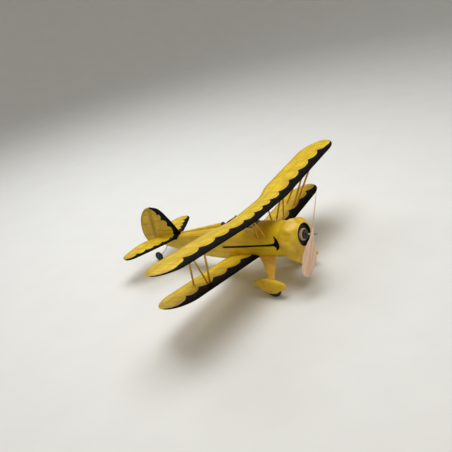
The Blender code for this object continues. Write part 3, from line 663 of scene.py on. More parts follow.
@dataclass(frozen=True)
class GrainedWood(Finish):
    """Wood cut along its grain: fine darker lines, soft growth bands and open pores."""

    pale: str = "#C9A27C"
    deep: str = "#9A7148"
    grain: Sequence[float] = (1.0, 1.0, 0.12)
    line_mm: float = 1.6
    relief_mm: float = 0.06
    gloss: float = 0.0

    def paint(self, tree: bpy.types.NodeTree, shader: bpy.types.Node) -> None:
        """Lay the grain.

        Args:
            tree: The material's node tree.
            shader: Its Principled shader.
        """
        bands = Mottle(self.line_mm * 3, 2.0, self.grain).values(tree)
        lines = Mottle(self.line_mm, 6.0, self.grain).values(tree)
        stain = Mottle(17.0, 2.0).values(tree)
        wood = Tint(0.32, 0.68, self.deep).over(tree, bands, linear(self.pale))
        lined = Tint(0.5, 0.78, self.deep, 0.0, 0.5).over(tree, lines, wood)
        shaded = Tint(0.4, 0.75, self.deep, 0.0, 0.3).over(tree, stain, lined)
        tree.links.new(shaded, shader.inputs["Base Color"])
        self.wear(tree, shader, lines, (0.3, 0.75), (-0.06, 0.12))
        shader.inputs["Coat Weight"].default_value = self.gloss
        shader.inputs["Coat Roughness"].default_value = 0.25
        self.relief(tree, shader, ((lines, self.relief_mm),))


@dataclass(frozen=True)
class BladeWood(GrainedWood):
    """Basswood carved along a blade and sealed, its grain read along the blade."""

    blade: Sequence[float] = (0.0, 0.0, 1.0)
    worn: str = "#EED9C2"
    stretch: float = 0.93

    def paint(self, tree: bpy.types.NodeTree, shader: bpy.types.Node) -> None:
        """Lay grain along the blade, with paler worn edges.

        Args:
            tree: The material's node tree.
            shader: Its Principled shader.
        """
        place = millimetres(tree)
        blade = Vector(self.blade)
        run = add_node(tree, "VectorMath", {"operation": "DOT_PRODUCT"}, {
            0: place, 1: blade}).outputs["Value"]
        pulled = add_node(tree, "VectorMath", {"operation": "SCALE"}, {0: blade, "Scale": run}).outputs[0]
        packed = add_node(tree, "VectorMath", MULTIPLY_ADD, {
            0: pulled, 1: (-self.stretch,) * 3, 2: place}).outputs[0]
        bands = Mottle(self.line_mm * 2.6, 2.0).values(tree, packed)
        lines = Mottle(self.line_mm, 6.0).values(tree, packed)
        edge = add_node(tree, "Attribute", {"attribute_name": "wood"}).outputs["Fac"]
        wood = Tint(0.3, 0.7, self.deep).over(tree, bands, linear(self.pale))
        lined = Tint(0.5, 0.75, self.deep, 0.0, 0.45).over(tree, lines, wood)
        rubbed = Tint(0.0, 2.2, self.worn, 0.4, 0.0).over(tree, edge, lined)
        tree.links.new(rubbed, shader.inputs["Base Color"])
        self.wear(tree, shader, lines, (0.3, 0.75), (-0.05, 0.12))
        shader.inputs["Coat Weight"].default_value = self.gloss
        shader.inputs["Coat Roughness"].default_value = 0.2
        self.relief(tree, shader, ((lines, self.relief_mm),))


@dataclass(frozen=True)
class DrawnMetal(Finish):
    """Metal drawn through a die: long fine scratches and a little tarnish."""

    pale: str = "#6C6C70"
    tarnish: str = "#4C4A46"
    grain: Sequence[float] = (1.0, 0.08, 1.0)

    def paint(self, tree: bpy.types.NodeTree, shader: bpy.types.Node) -> None:
        """Lay scratches and tarnish.

        Args:
            tree: The material's node tree.
            shader: Its Principled shader.
        """
        scratches = Mottle(0.35, 4.0, self.grain).values(tree)
        stain = Mottle(6.0, 4.0).values(tree)
        colour = Tint(0.45, 0.75, self.tarnish, 0.0, 0.7).over(tree, stain, linear(self.pale))
        tree.links.new(colour, shader.inputs["Base Color"])
        shader.inputs["Metallic"].default_value = 1.0
        self.wear(tree, shader, scratches, (0.3, 0.7), (-0.08, 0.15))
        self.relief(tree, shader, ((scratches, 0.02),))


@dataclass(frozen=True)
class MouldedRubber(Finish):
    """Black material moulded or turned: matte, greyer where dust sits in its pores."""

    black: str = "#0E0E10"
    dust: str = "#2E2C28"
    pore_mm: float = 0.5

    def paint(self, tree: bpy.types.NodeTree, shader: bpy.types.Node) -> None:
        """Lay pores and dust.

        Args:
            tree: The material's node tree.
            shader: Its Principled shader.
        """
        pores = add_node(tree, "TexVoronoi", None, {"Vector": millimetres(tree), "Scale": 1 / self.pore_mm})
        dust = Mottle(4.0, 6.0).values(tree)
        colour = Tint(0.5, 0.78, self.dust, 0.0, 0.55).over(tree, dust, linear(self.black))
        tree.links.new(colour, shader.inputs["Base Color"])
        self.wear(tree, shader, dust, (0.35, 0.7), (-0.1, 0.08))
        self.relief(tree, shader, ((pores.outputs["Distance"], 0.03), (dust, 0.08)))


@dataclass(frozen=True)
class PaddedVinyl(Finish):
    """Leather-like vinyl over a pad: pebbled, with creases that catch the light."""

    brown: str = "#74401F"
    # Colour of the painted shade in the grooves and of the aged creases
    dark: str = "#3A1E0E"
    pebble_mm: float = 0.8

    def paint(self, tree: bpy.types.NodeTree, shader: bpy.types.Node) -> None:
        """Lay pebbles with painted shade in their grooves, and creases.

        Args:
            tree: The material's node tree.
            shader: Its Principled shader.
        """
        pebbles = add_node(tree, "TexVoronoi", {"feature": "DISTANCE_TO_EDGE"}, {
            "Vector": millimetres(tree), "Scale": 1 / self.pebble_mm}).outputs["Distance"]
        creases = Mottle(5.0, 5.0).values(tree)
        # The grooves between the pebbles are darker: painted shade
        colour = Tint(0.02, 0.2, self.dark, 1.0, 0.0).over(tree, pebbles, linear(self.brown))
        aged = Tint(0.42, 0.7, self.dark, 0.0, 0.6).over(tree, creases, colour)
        tree.links.new(aged, shader.inputs["Base Color"])
        self.wear(tree, shader, creases, (0.3, 0.7), (-0.1, 0.1))
        shader.inputs["Sheen Weight"].default_value = 0.15
        raised = add_node(tree, "MapRange", SMOOTH, {"Value": pebbles, "From Max": 0.25}).outputs["Result"]
        self.relief(tree, shader, ((raised, 0.08), (creases, 0.3)))


@dataclass(frozen=True)
class ClearAcetate(Finish):
    """Clear acetate sheet cut to shape: almost colourless, with handling haze and faint scratches."""

    tint: str = "#F1F6F5"
    haze: str = "#D9E2E0"

    def paint(self, tree: bpy.types.NodeTree, shader: bpy.types.Node) -> None:
        """Lay haze and scratches.

        Args:
            tree: The material's node tree.
            shader: Its Principled shader.
        """
        haze = Mottle(7.0, 5.0).values(tree)
        scratches = Mottle(0.5, 4.0, (1.0, 0.15, 1.0)).values(tree)
        colour = Tint(0.5, 0.8, self.haze, 0.0, 0.4).over(tree, haze, linear(self.tint))
        tree.links.new(colour, shader.inputs["Base Color"])
        self.wear(tree, shader, haze, (0.35, 0.75), (0.0, 0.12))
        shader.inputs["Transmission Weight"].default_value = 0.94
        self.relief(tree, shader, ((scratches, 0.01),))


# Tissue and plastic differ a little in yellow because each takes the colour differently; the deeper, more
# orange yellow of struts and legs is partly their enamel and partly painted shade
TISSUE = DopedTissue("doped_tissue_over_balsa", 0.44, 1.48)
# Over sheet wood the painted shadow of the frame is fainter
DECK = DopedTissue("doped_tissue_on_sheeted_deck", 0.4, 1.48, frame_shadow="#C2980F", cloud_mm=34.0)
# Formed sheet is smooth and even, and shines softly
PLASTIC = FormedPlastic("painted_vacuum_formed_styrene", 0.4, 1.5)
# Thin enamel lets a little of the grain through
# Strut and leg yellows are darker and more orange than the tissue: partly painted shade
STRUT_PAINT = GrainedWood("brushed_enamel_on_spruce", 0.38, 1.5, "#DCA524", "#C9921A", gloss=0.1)
LEG_PAINT = GrainedWood("brushed_enamel_on_balsa_leg", 0.4, 1.5, "#E4B238", "#D6A22C", (0.12, 1.0, 1.0),
                        gloss=0.1)
# Sanded end grain is pale and dull, and stained lining is dark and dull
NOSE_WOOD = GrainedWood("sanded_basswood_block", 0.55, 1.5, "#DCC9A0", "#BFA273", (0.2, 1.0, 1.0), 1.0)
LINING = GrainedWood("stained_balsa_lining", 0.7, 1.5, "#3A2716", "#1F140A", (1.0, 1.0, 0.2), 1.2)
# Spring wire is dark and streaked, and brass tube is bright and warm
STEEL = DrawnMetal("drawn_music_wire", 0.28)
BRASS = DrawnMetal("drawn_brass_tube", 0.26, pale="#D9B568", tarnish="#8C6A34", grain=(0.08, 1.0, 1.0))
# The black pieces differ in gloss: rubber and painted ply are dull, nylon, hub and tape are smoother
RUBBER = MouldedRubber("moulded_black_rubber", 0.66, 1.52)
HUB_PLASTIC = MouldedRubber("moulded_black_abs_hub", 0.42, 1.54, "#1B1B1D", "#35332F", 0.9)
CARD = MouldedRubber("matt_black_painted_ply", 0.72, 1.5, "#0E0E0F", "#26241F", 0.7)
BUTTON = MouldedRubber("turned_black_nylon", 0.5, 1.5, "#060607", "#19191A", 0.6)
TRIM_STRIP = MouldedRubber("black_trim_tape", 0.36, 1.5, "#101011", "#2B2A27", 0.5)
# Vinyl is pebbled, and the rolled edges are nearly black
VINYL = PaddedVinyl("padded_brown_vinyl", 0.6, 1.5)
COAMING_HIDE = PaddedVinyl("rolled_dark_vinyl_coaming", 0.48, 1.5, "#2A1B12", "#140C07", 0.6)
CLEAR = ClearAcetate("clear_cut_acetate", 0.03, 1.47)


# Sub-assemblies


@dataclass(frozen=True)
class Scallops:
    """Black band along a leading edge whose rear edge runs in lobes between points.

    The runs are measured along the edge. A lobe is the yellow curve between two black points.
    """

    runs: Sequence[float]
    point_depth: float
    lobe_depth: float
    tail: Sequence[tuple[float, float]]

    def depth(self, run: np.ndarray) -> np.ndarray:
        """Work out the band's depth.

        Args:
            run: Places along the edge.

        Returns:
            The depth of the black band there.
        """
        runs = np.asarray(self.runs)
        after = np.clip(np.searchsorted(runs, run), 1, len(runs) - 1)
        start, end = runs[after - 1], runs[after]
        swing = np.abs(2 * (run - start) / (end - start) - 1)
        lobes = self.lobe_depth + (self.point_depth - self.lobe_depth) * np.minimum(swing, 1.0) ** 2.2
        tail = smooth_line([(runs[-1], self.point_depth), *self.tail], 10)
        fading = np.interp(run, tail[:, 0], tail[:, 1])
        return np.where(run <= runs[-1], lobes, fading)

    def trim(self, places: Points, edge: Points) -> np.ndarray:
        """Work out how far places are outside the black band.

        Args:
            places: Places in the surface's plane.
            edge: The leading edge there.

        Returns:
            Distances, negative inside the black.
        """
        distance, run = nearest_on_line(places, edge)
        depth = self.depth(run)
        slope = (self.depth(run + 0.5) - self.depth(run - 0.5))
        return (distance - depth) / np.sqrt(1 + slope ** 2)


@dataclass(frozen=True)
class Wing:
    """A wing of ribs, spars and edge stock under tissue, with scalloped black leading edge."""

    name: str
    semi_span: float
    break_span: float
    dihedral: float
    leading: tuple[float, float]
    cutout_half: float
    inner: float
    scallops: Scallops
    sides: tuple[Side, ...] = (Side.RIGHT, Side.LEFT)
    chord: float = 86.0
    incidence: float = math.radians(1.6)
    thickness: float = 0.09
    camber: float = 0.03
    tip_front: float = 51.0
    tip_rear: float = 58.0
    cutout_depth: float = 14.5
    trailing_half: float = 0.4
    leading_stock: float = 5.0
    trailing_stock: float = 8.0
    spars: tuple[float, float] = (24.0, 52.0)
    spar_half: float = 1.4
    rib_half: float = 0.8
    sag: float = 0.7

    def edges(self, span: np.ndarray) -> tuple[np.ndarray, np.ndarray]:
        """Find the leading and trailing edges.

        Args:
            span: Places along the panels.

        Returns:
            Their distances aft of the straight leading edge.
        """
        furthest = 0.5 * self.chord

        def moved(length: float) -> np.ndarray:
            """Share by which a tip's edge has moved in."""
            into = np.clip((span - self.semi_span + length) / length, 0.0, 1.0)
            return 1 - np.sqrt(1 - into ** 2)

        lead = furthest * moved(self.tip_front)
        trail = self.chord - furthest * moved(self.tip_rear)
        if self.cutout_half:
            share = np.minimum(span / self.cutout_half, 1.0) ** 2
            trail = trail - self.cutout_depth * 0.5 * (1 + np.cos(math.pi * share))
        return lead, trail

    def ribs(self) -> np.ndarray:
        """Spans of the ribs, at the points of the scallops and on towards the tip."""
        runs = np.asarray(self.scallops.runs, dtype=float)
        outer = runs[-1] + np.array([0.42, 0.8]) * (self.semi_span - runs[-1])
        return np.concatenate([runs, outer])

    def stations(self) -> np.ndarray:
        """Spans of the skin's rings, 2 mm apart and closer round the tip."""
        straight = np.arange(self.inner, self.semi_span - self.tip_rear, 2.0)
        tip = self.semi_span - self.tip_rear * (1 - np.sin(np.radians(np.linspace(0, 88.3, 44))))
        ribs = self.ribs()
        return np.unique(np.round(np.concatenate([straight, tip, ribs[ribs > self.inner]]), 2))

    def plan_edges(self) -> tuple[Points, Points]:
        """Leading and trailing edge as lines of (span, distance aft)."""
        tip = self.semi_span - self.tip_rear * (1 - np.sin(np.radians(np.linspace(0, 90, 46))))
        span = np.concatenate([np.linspace(0, self.semi_span - self.tip_rear, 24)[:-1], tip])
        lead, trail = self.edges(span)
        return np.stack([span, lead], axis=1), np.stack([span, trail], axis=1)

    def frame_distance(self, span: np.ndarray, back: np.ndarray) -> tuple[np.ndarray, np.ndarray]:
        """Measure how far places are from the wood under the tissue.

        Args:
            span: Places along the panels.
            back: Their distances aft of the straight leading edge.

        Returns:
            Distances from the wood that holds the skin, and from any wood.
        """
        places = np.stack([span, back], axis=1)
        lead, trail = self.plan_edges()
        holding = np.minimum(nearest_on_line(places, lead)[0] - self.leading_stock,
                             nearest_on_line(places, trail)[0] - self.trailing_stock)
        for rib in self.ribs():
            holding = np.minimum(holding, np.abs(span - rib) - self.rib_half)
        wood = holding.copy()
        for spar in self.spars:
            wood = np.minimum(wood, np.abs(back - spar) - self.spar_half)
        return holding, wood

    def skin(self) -> Skin:
        """Build the wing's skin, sagging a little between its ribs."""
        steps = 34
        aft = 0.5 * (1 - np.cos(math.pi * np.arange(steps + 1) / steps))
        half = 5 * self.thickness * (0.2969 * np.sqrt(aft) - 0.126 * aft - 0.3516 * aft ** 2
                                     + 0.2843 * aft ** 3 - 0.1015 * aft ** 4)
        mean = self.camber * 4 * aft * (1 - aft)
        edge = self.trailing_half / self.chord * aft
        share = np.concatenate([aft[:0:-1], [0.0], aft[1:]])
        height = np.concatenate([(mean + half + edge)[:0:-1], [0.0], (mean * 0.55 - half - edge)[1:]])
        facing = np.concatenate([np.ones(steps), [0.0], -np.ones(steps)])
        spans = self.stations()
        if len(self.sides) == 2:
            signed = np.concatenate([-spans[::-1], [0.0], spans[spans > 0]])
        else:
            signed = spans * self.sides[0].value
        span = np.abs(signed)
        lead, trail = self.edges(span)
        chord = (trail - lead)[:, None]
        back = lead[:, None] + share * chord
        outboard = np.maximum(0.0, span - self.break_span)[:, None]
        y = np.sign(signed)[:, None] * (np.minimum(span, self.break_span)[:, None]
                                        + outboard * math.cos(self.dihedral)) + 0 * back
        z = (self.leading[1] + outboard * math.sin(self.dihedral) + height * chord
             - back * math.sin(self.incidence))
        holding, _ = self.frame_distance(np.broadcast_to(span[:, None], back.shape).ravel(), back.ravel())
        sag = self.sag * smooth_step(holding, 0.0, 15.0).reshape(back.shape)
        z = z - facing * sag
        return loft(np.stack([self.leading[0] - back, y, z], axis=-1))

    def marks(self, points: Points) -> dict[str, np.ndarray]:
        """Work out the wing's paint and wood distances.

        Args:
            points: Level places on the skin.

        Returns:
            The "trim" and "wood" distances.
        """
        across = np.abs(points[:, 1])
        span = np.where(across > self.break_span,
                        self.break_span + (across - self.break_span) / math.cos(self.dihedral), across)
        back = self.leading[0] - points[:, 0]
        lead, _ = self.plan_edges()
        _, wood = self.frame_distance(span, back)
        return {"trim": self.scallops.trim(np.stack([span, back], axis=1), lead), "wood": wood}

    def chord_place(self, span: float, share: float, side: Side) -> np.ndarray:
        """Find a place on the chord line.

        Args:
            span: Place along the panel.
            share: Share of the full chord aft of the leading edge.
            side: Side of the model.

        Returns:
            The level place.
        """
        outboard = max(0.0, span - self.break_span)
        back = share * self.chord
        return np.array([
            self.leading[0] - back,
            side.value * (min(span, self.break_span) + outboard * math.cos(self.dihedral)),
            self.leading[1] + outboard * math.sin(self.dihedral) - back * math.sin(self.incidence),
        ])

    def build(self, shop: Workshop) -> None:
        """Build and dress the wing."""
        shop.add(self.name + "_skin", self.skin(), TISSUE, Slot.TISSUE, (self.name,), marker=self.marks,
                 sharp=50)


@dataclass(frozen=True)
class TailSurface:
    """A flat tail surface: a wooden outline and ribs under tissue, sunk a little between them.

    Its outline is given by two edges that run from root to tip. Each is a row of (across, along),
    where "along" grows from root to tip and "across" is level X.
    """

    name: str
    front: Sequence[tuple[float, float]]
    rear: Sequence[tuple[float, float]]
    upright: bool
    ribs: Sequence[tuple[tuple[float, float], tuple[float, float]]]
    scallops: Scallops | None = None
    side: Side = Side.LEFT
    thickness: float = 4.0
    rim: float = 6.0
    rounding: float = 1.5
    rib_half: float = 1.2
    sink: float = 0.55

    def edges(self) -> tuple[Points, Points]:
        """Front and rear edge as smooth lines from root to tip."""
        return smooth_line(self.front, 10), smooth_line(self.rear, 10)

    def frame_distance(self, places: Points) -> tuple[np.ndarray, np.ndarray]:
        """Measure how far places are from the edge and from the wood.

        Args:
            places: Places as (across, along).

        Returns:
            Distances from the outline, and from the wood.
        """
        front, rear = self.edges()
        outline, _ = nearest_on_line(places, np.vstack([front, rear[::-1]]))
        wood = outline - self.rim
        for rib in self.ribs:
            away, _ = nearest_on_line(places, np.asarray(rib, dtype=float))
            wood = np.minimum(wood, away - self.rib_half)
        return outline, wood

    def skin(self) -> Skin:
        """Build the surface's skin."""
        front, rear = self.edges()
        root, tip = max(front[0, 1], rear[0, 1]), min(front[-1, 1], rear[-1, 1])
        near_tip = tip - 12.0 * (1 - np.sin(np.radians(np.linspace(0, 89.4, 26))))
        along = np.unique(np.concatenate([np.arange(root, tip - 12.0, 1.6), near_tip]))
        lead = np.interp(along, front[:, 1], front[:, 0])
        trail = np.interp(along, rear[:, 1], rear[:, 0])
        steps = 30
        share = 0.5 * (1 - np.cos(math.pi * np.arange(steps + 1) / steps))
        ring = np.concatenate([share[::-1], share[1:-1]])
        facing = np.concatenate([np.ones(steps + 1), -np.ones(steps - 1)])
        across = lead[:, None] + (trail - lead)[:, None] * ring
        lengthwise = np.broadcast_to(along[:, None], across.shape)
        outline, wood = self.frame_distance(np.stack([across.ravel(), lengthwise.ravel()], axis=1))
        into = np.clip(outline / self.rounding, 0.0, 1.0)
        half = 0.5 * self.thickness * np.sqrt(1 - (1 - into) ** 2)
        half = (half - self.sink * smooth_step(wood, 0.0, 5.0)).reshape(across.shape)
        off = facing * np.maximum(half, 0.02)
        order = (across, off, lengthwise) if self.upright else (across, self.side.value * lengthwise, off)
        return loft(np.stack(order, axis=-1))

    def marks(self, points: Points) -> dict[str, np.ndarray]:
        """Work out the surface's paint and wood distances.

        Args:
            points: Level places on the skin.

        Returns:
            The "trim" and "wood" distances.
        """
        along = points[:, 2] if self.upright else np.abs(points[:, 1])
        places = np.stack([points[:, 0], along], axis=1)
        _, wood = self.frame_distance(places)
        trim = self.scallops.trim(places, self.edges()[0]) if self.scallops else np.full(len(points), 50.0)
        return {"trim": trim, "wood": wood}

    def build(self, shop: Workshop) -> None:
        """Build and dress the surface."""
        shop.add(self.name + "_skin", self.skin(), TISSUE, Slot.TISSUE, (self.name,), marker=self.marks,
                 sharp=50)


@dataclass(frozen=True)
class Fuselage:
    """Fuselage: sheeted deck and nose, tissue over stringers behind, two open cockpits.

    A section row is x, half width, height of the widest line, crown, keel, roundness above and below.
    """

    sections: Sequence[Sequence[float]] = (
        (16.0, 35.5, -8.0, 27.5, -43.5, 2.0, 2.0),
        (-20.0, 34.5, -5.0, 28.5, -44.5, 2.0, 2.4),
        (-60.0, 33.0, 0.0, 29.0, -46.0, 2.1, 3.2),
        (-110.0, 31.0, 5.0, 28.5, -47.5, 2.2, 4.0),
        (-150.0, 28.5, 7.0, 25.0, -48.0, 2.2, 4.5),
        (-200.0, 23.0, 6.0, 19.0, -44.5, 2.2, 4.5),
        (-247.0, 17.0, 4.0, 13.5, -38.5, 2.2, 4.5),
        (-290.0, 11.0, 2.0, 8.5, -31.0, 2.2, 4.5),
        (-330.0, 6.0, 0.0, 4.5, -23.0, 2.2, 4.0),
        (-362.0, 2.4, -1.0, 2.5, -16.0, 2.2, 3.0),
    )
    rings_a_span: int = 24
    bays: int = 5
    upper_steps: int = 25
    lower_steps: int = 40
    stringer_half: float = 0.8
    flatness: float = 0.85
    sag: float = 0.3
    cockpits: tuple[float, float] = (-68.0, -123.0)
    well_half_length: float = 17.0
    well_half_width: float = 15.0
    well_floor: float = -8.0
    well_top: float = 45.0
    coaming_radius: float = 1.2
    stripe: Sequence[tuple[float, float]] = (
        (-138.0, -11.6), (-136.0, -9.6), (-92.0, -7.5), (-46.0, -5.2), (-12.0, -3.0), (0.5, -1.4),
        (4.4, 1.2), (5.4, 5.6), (2.6, 12.8), (8.0, 9.8), (12.6, 5.2), (15.2, -0.6), (15.4, -6.6),
        (12.6, -12.0), (8.4, -15.4), (3.4, -17.4), (5.4, -12.4), (4.6, -9.0), (0.5, -7.4),
        (-12.0, -7.7), (-46.0, -9.5), (-92.0, -11.9), (-136.0, -13.9),
    )
    tail_patch: Sequence[tuple[float, float]] = (
        (-268.0, 15.0), (-275.0, 7.0), (-281.0, 1.5), (-286.0, -2.5), (-296.0, -2.5), (-299.0, 2.0),
        (-297.0, 8.0), (-293.0, 17.0),
    )

    def rows(self) -> Points:
        """Section values at every ring."""
        return smooth_line(self.sections, self.rings_a_span)

    def deck_height(self, x: np.ndarray, y: np.ndarray) -> np.ndarray:
        """Find the height of the deck.

        Args:
            x: Places along the fuselage.
            y: Places across it.

        Returns:
            The height at each place.
        """
        rows = self.rows()[::-1]
        half, widest, crown, roundness = (
            np.interp(x, rows[:, 0], rows[:, column]) for column in (1, 2, 3, 5))
        share = np.clip(1 - np.abs(y / half) ** roundness, 0.0, 1.0)
        return widest + (crown - widest) * share ** (1 / roundness)

    @staticmethod
    def quadrant(across: float, upward: float, roundness: float, steps: int) -> Points:
        """Draw a quarter of a section from its side to its crown or keel.

        Args:
            across: Half width.
            upward: Height above the widest line, negative for the lower half.
            roundness: 2 for an ellipse, more for a boxier form.
            steps: Equal steps along the curve.

        Returns:
            The points of the quarter, both ends included.
        """
        turn = np.linspace(0, math.pi / 2, 240)
        power = 2 / roundness
        curve = np.stack([across * np.cos(turn) ** power, upward * np.sin(turn) ** power], axis=1)
        run = np.concatenate([[0.0], np.cumsum(np.linalg.norm(np.diff(curve, axis=0), axis=1))])
        even = np.linspace(0, run[-1], steps + 1)
        return np.stack([np.interp(even, run, curve[:, 0]), np.interp(even, run, curve[:, 1])], axis=1)

    def taut(self, quarter: Points, amount: float) -> Points:
        """Pull the tissue of a quarter flat between its stringers.

        Args:
            quarter: Points of the quarter section.
            amount: 1 where tissue spans the stringers, 0 over sheet.

        Returns:
            The moved points.
        """
        steps = len(quarter) - 1
        knots = np.linspace(0, steps, self.bays + 1)
        place = np.arange(steps + 1)
        bay = steps // self.bays
        chord = np.stack([np.interp(place, knots, quarter[::bay, column]) for column in (0, 1)], axis=1)
        share = (place % bay) / bay
        hollow = 4 * share * (1 - share)
        inward = -chord / np.maximum(np.linalg.norm(chord, axis=1), 1e-6)[:, None]
        flat = quarter + (chord - quarter) * self.flatness + inward * (self.sag * hollow)[:, None]
        return quarter + (flat - quarter) * amount

    def ring(self, row: np.ndarray) -> tuple[Points, np.ndarray]:
        """Draw one ring of the skin.

        Args:
            row: Section values.

        Returns:
            The ring's level points, and each point's distance from a stringer.
        """
        x, half, widest, crown, keel, round_up, round_low = row
        aft_deck = float(smooth_step(np.array([-x]), 150.0, 162.0)[0])
        aft_side = float(smooth_step(np.array([-x]), 6.0, 20.0)[0])
        upper = self.taut(self.quadrant(half, crown - widest, round_up, self.upper_steps), aft_deck)
        lower = self.taut(self.quadrant(half, keel - widest, round_low, self.lower_steps), aft_side)
        mirror = np.array([-1.0, 1.0])
        flat = np.vstack([upper[:-1], (upper * mirror)[:0:-1], (lower * mirror)[:-1], lower[:0:-1]])
        points = np.column_stack([np.full(len(flat), x), flat[:, 0], widest + flat[:, 1]])
        wood = []
        for quarter, amount in ((upper, aft_deck), (upper, aft_deck), (lower, aft_side), (lower, aft_side)):
            count = len(quarter) - 1
            step = np.linalg.norm(quarter[1] - quarter[0])
            index = np.arange(count) % (count // self.bays)
            away = np.minimum(index, count // self.bays - index) * step - self.stringer_half
            wood.append(np.where(amount > 0.5, away, 6.0))
        wood[1] = np.roll(wood[1][::-1], 1)
        wood[3] = np.roll(wood[3][::-1], 1)
        return points, np.concatenate(wood)

    def oval(self, centre_x: float, grow: float, steps: int) -> Points:
        """Draw a cockpit's outline.

        Args:
            centre_x: Middle of the cockpit.
            grow: How far outside the well the line runs.
            steps: Points round it.

        Returns:
            Level X and Y of the line.
        """
        turn = 2 * math.pi * np.arange(steps) / steps
        along = np.sign(np.cos(turn)) * np.abs(np.cos(turn)) ** 0.8 * (self.well_half_length + grow)
        across = np.sign(np.sin(turn)) * np.abs(np.sin(turn)) ** 0.8 * (self.well_half_width + grow)
        return np.column_stack([centre_x + along, across])

    def well(self, centre_x: float) -> Skin:
        """Upright oval space that opens a cockpit."""
        line = self.oval(centre_x, 0.0, 72)
        levels = (self.well_floor, self.well_top)
        return loft(np.stack([np.column_stack([line, np.full(len(line), z)]) for z in levels]))

    def coaming(self, centre_x: float) -> Skin:
        """Padded roll round the edge of a cockpit."""
        line = self.oval(centre_x, 0.2, 144)
        height = self.deck_height(line[:, 0], line[:, 1])
        return tube(np.column_stack([line, height + 0.25]), self.coaming_radius, Ends.JOINED)

    def marks(self, points: Points) -> dict[str, np.ndarray]:
        """Work out the paint distances of the side stripe and its crescent.

        Args:
            points: Level places on the skin.

        Returns:
            The "trim" and "wood" distances.
        """
        outline = smooth_line([*self.stripe, self.stripe[0]], 5)[:-1]
        wood = np.concatenate([self.ring(row)[1] for row in self.rows()])
        profile = points[:, [0, 2]]
        patch = np.array(self.tail_patch)
        trim = np.minimum(outline_distance(profile, outline), outline_distance(profile, patch))
        return {"trim": trim, "wood": wood}

    def build(self, shop: Workshop) -> None:
        """Build the body, its wells and their rolled edges."""
        rings = np.stack([self.ring(row)[0] for row in self.rows()])
        shop.add("fuselage_skin", loft(rings), DECK, Slot.TISSUE, ("fuselage",), marker=self.marks,
                 wells=[(self.well(x), LINING) for x in self.cockpits], sharp=55)
        for place, x in zip(("front", "rear"), self.cockpits):
            shop.add("cockpit_coaming_" + place, self.coaming(x), COAMING_HIDE, Slot.LEATHER)


@dataclass(frozen=True)
class Windscreen:
    """Clear sheet curved round the front of a cockpit, with a strip along its foot and top."""

    name: str
    cockpit_x: float
    top_z: float
    band: float
    fuselage: Fuselage
    half_width: float = 17.0
    foot_z: float = 12.0
    ahead: float = 8.0
    rake: float = 9.0
    sweep: float = 9.0
    side_drop: float = 3.5
    thickness: float = 0.8

    def sheet(self, low: float, high: float, grow: float) -> Skin:
        """Draw the sheet, or a strip over it, between two shares of its height.

        Args:
            low: Share of the height at the lower edge.
            high: Share of the height at the upper edge.
            grow: How far the strip stands off the sheet.

        Returns:
            The strip's skin.
        """
        foot_x = self.cockpit_x + self.fuselage.well_half_length + self.ahead
        turn = np.linspace(-1, 1, 65)
        x = foot_x - self.sweep * turn ** 2
        y = (self.half_width + grow) * turn
        top = self.top_z - self.side_drop * turn ** 4
        corners = []
        outer = self.thickness + grow
        for share, thick in ((low, -grow), (high, -grow), (high, outer), (low, outer)):
            height = self.foot_z + (top - self.foot_z) * share
            corners.append(np.column_stack([x - self.rake * share + thick, y, height]))
        return loft(np.stack(corners, axis=1))

    def build(self, shop: Workshop) -> None:
        """Build the sheet, its top band and its foot strip."""
        tall = self.top_z - self.foot_z
        shop.add(self.name + "_sheet", self.sheet(0.0, 1.0, 0.0), CLEAR, Slot.CLEAR, (self.name,))
        shop.add(self.name + "_top_band", self.sheet(1 - self.band / tall, 1 + 0.2 / tall, 0.15), TRIM_STRIP,
                 Slot.BLACK)
        foot_x = self.cockpit_x + self.fuselage.well_half_length + self.ahead
        turn = np.linspace(-1, 1, 65)
        y = self.half_width * turn
        x = foot_x - self.sweep * turn ** 2
        for _ in range(3):
            height = self.fuselage.deck_height(x, y)
            top = self.top_z - self.side_drop * turn ** 4
            share = (height - self.foot_z) / (top - self.foot_z)
            x = foot_x - self.sweep * turn ** 2 - self.rake * share
        path = np.column_stack([x + 0.5 * self.thickness, y, height + 0.2])
        shop.add(self.name + "_foot_strip", tube(path, 0.8, Ends.CAPPED, 12, 0.7), TRIM_STRIP, Slot.BLACK)


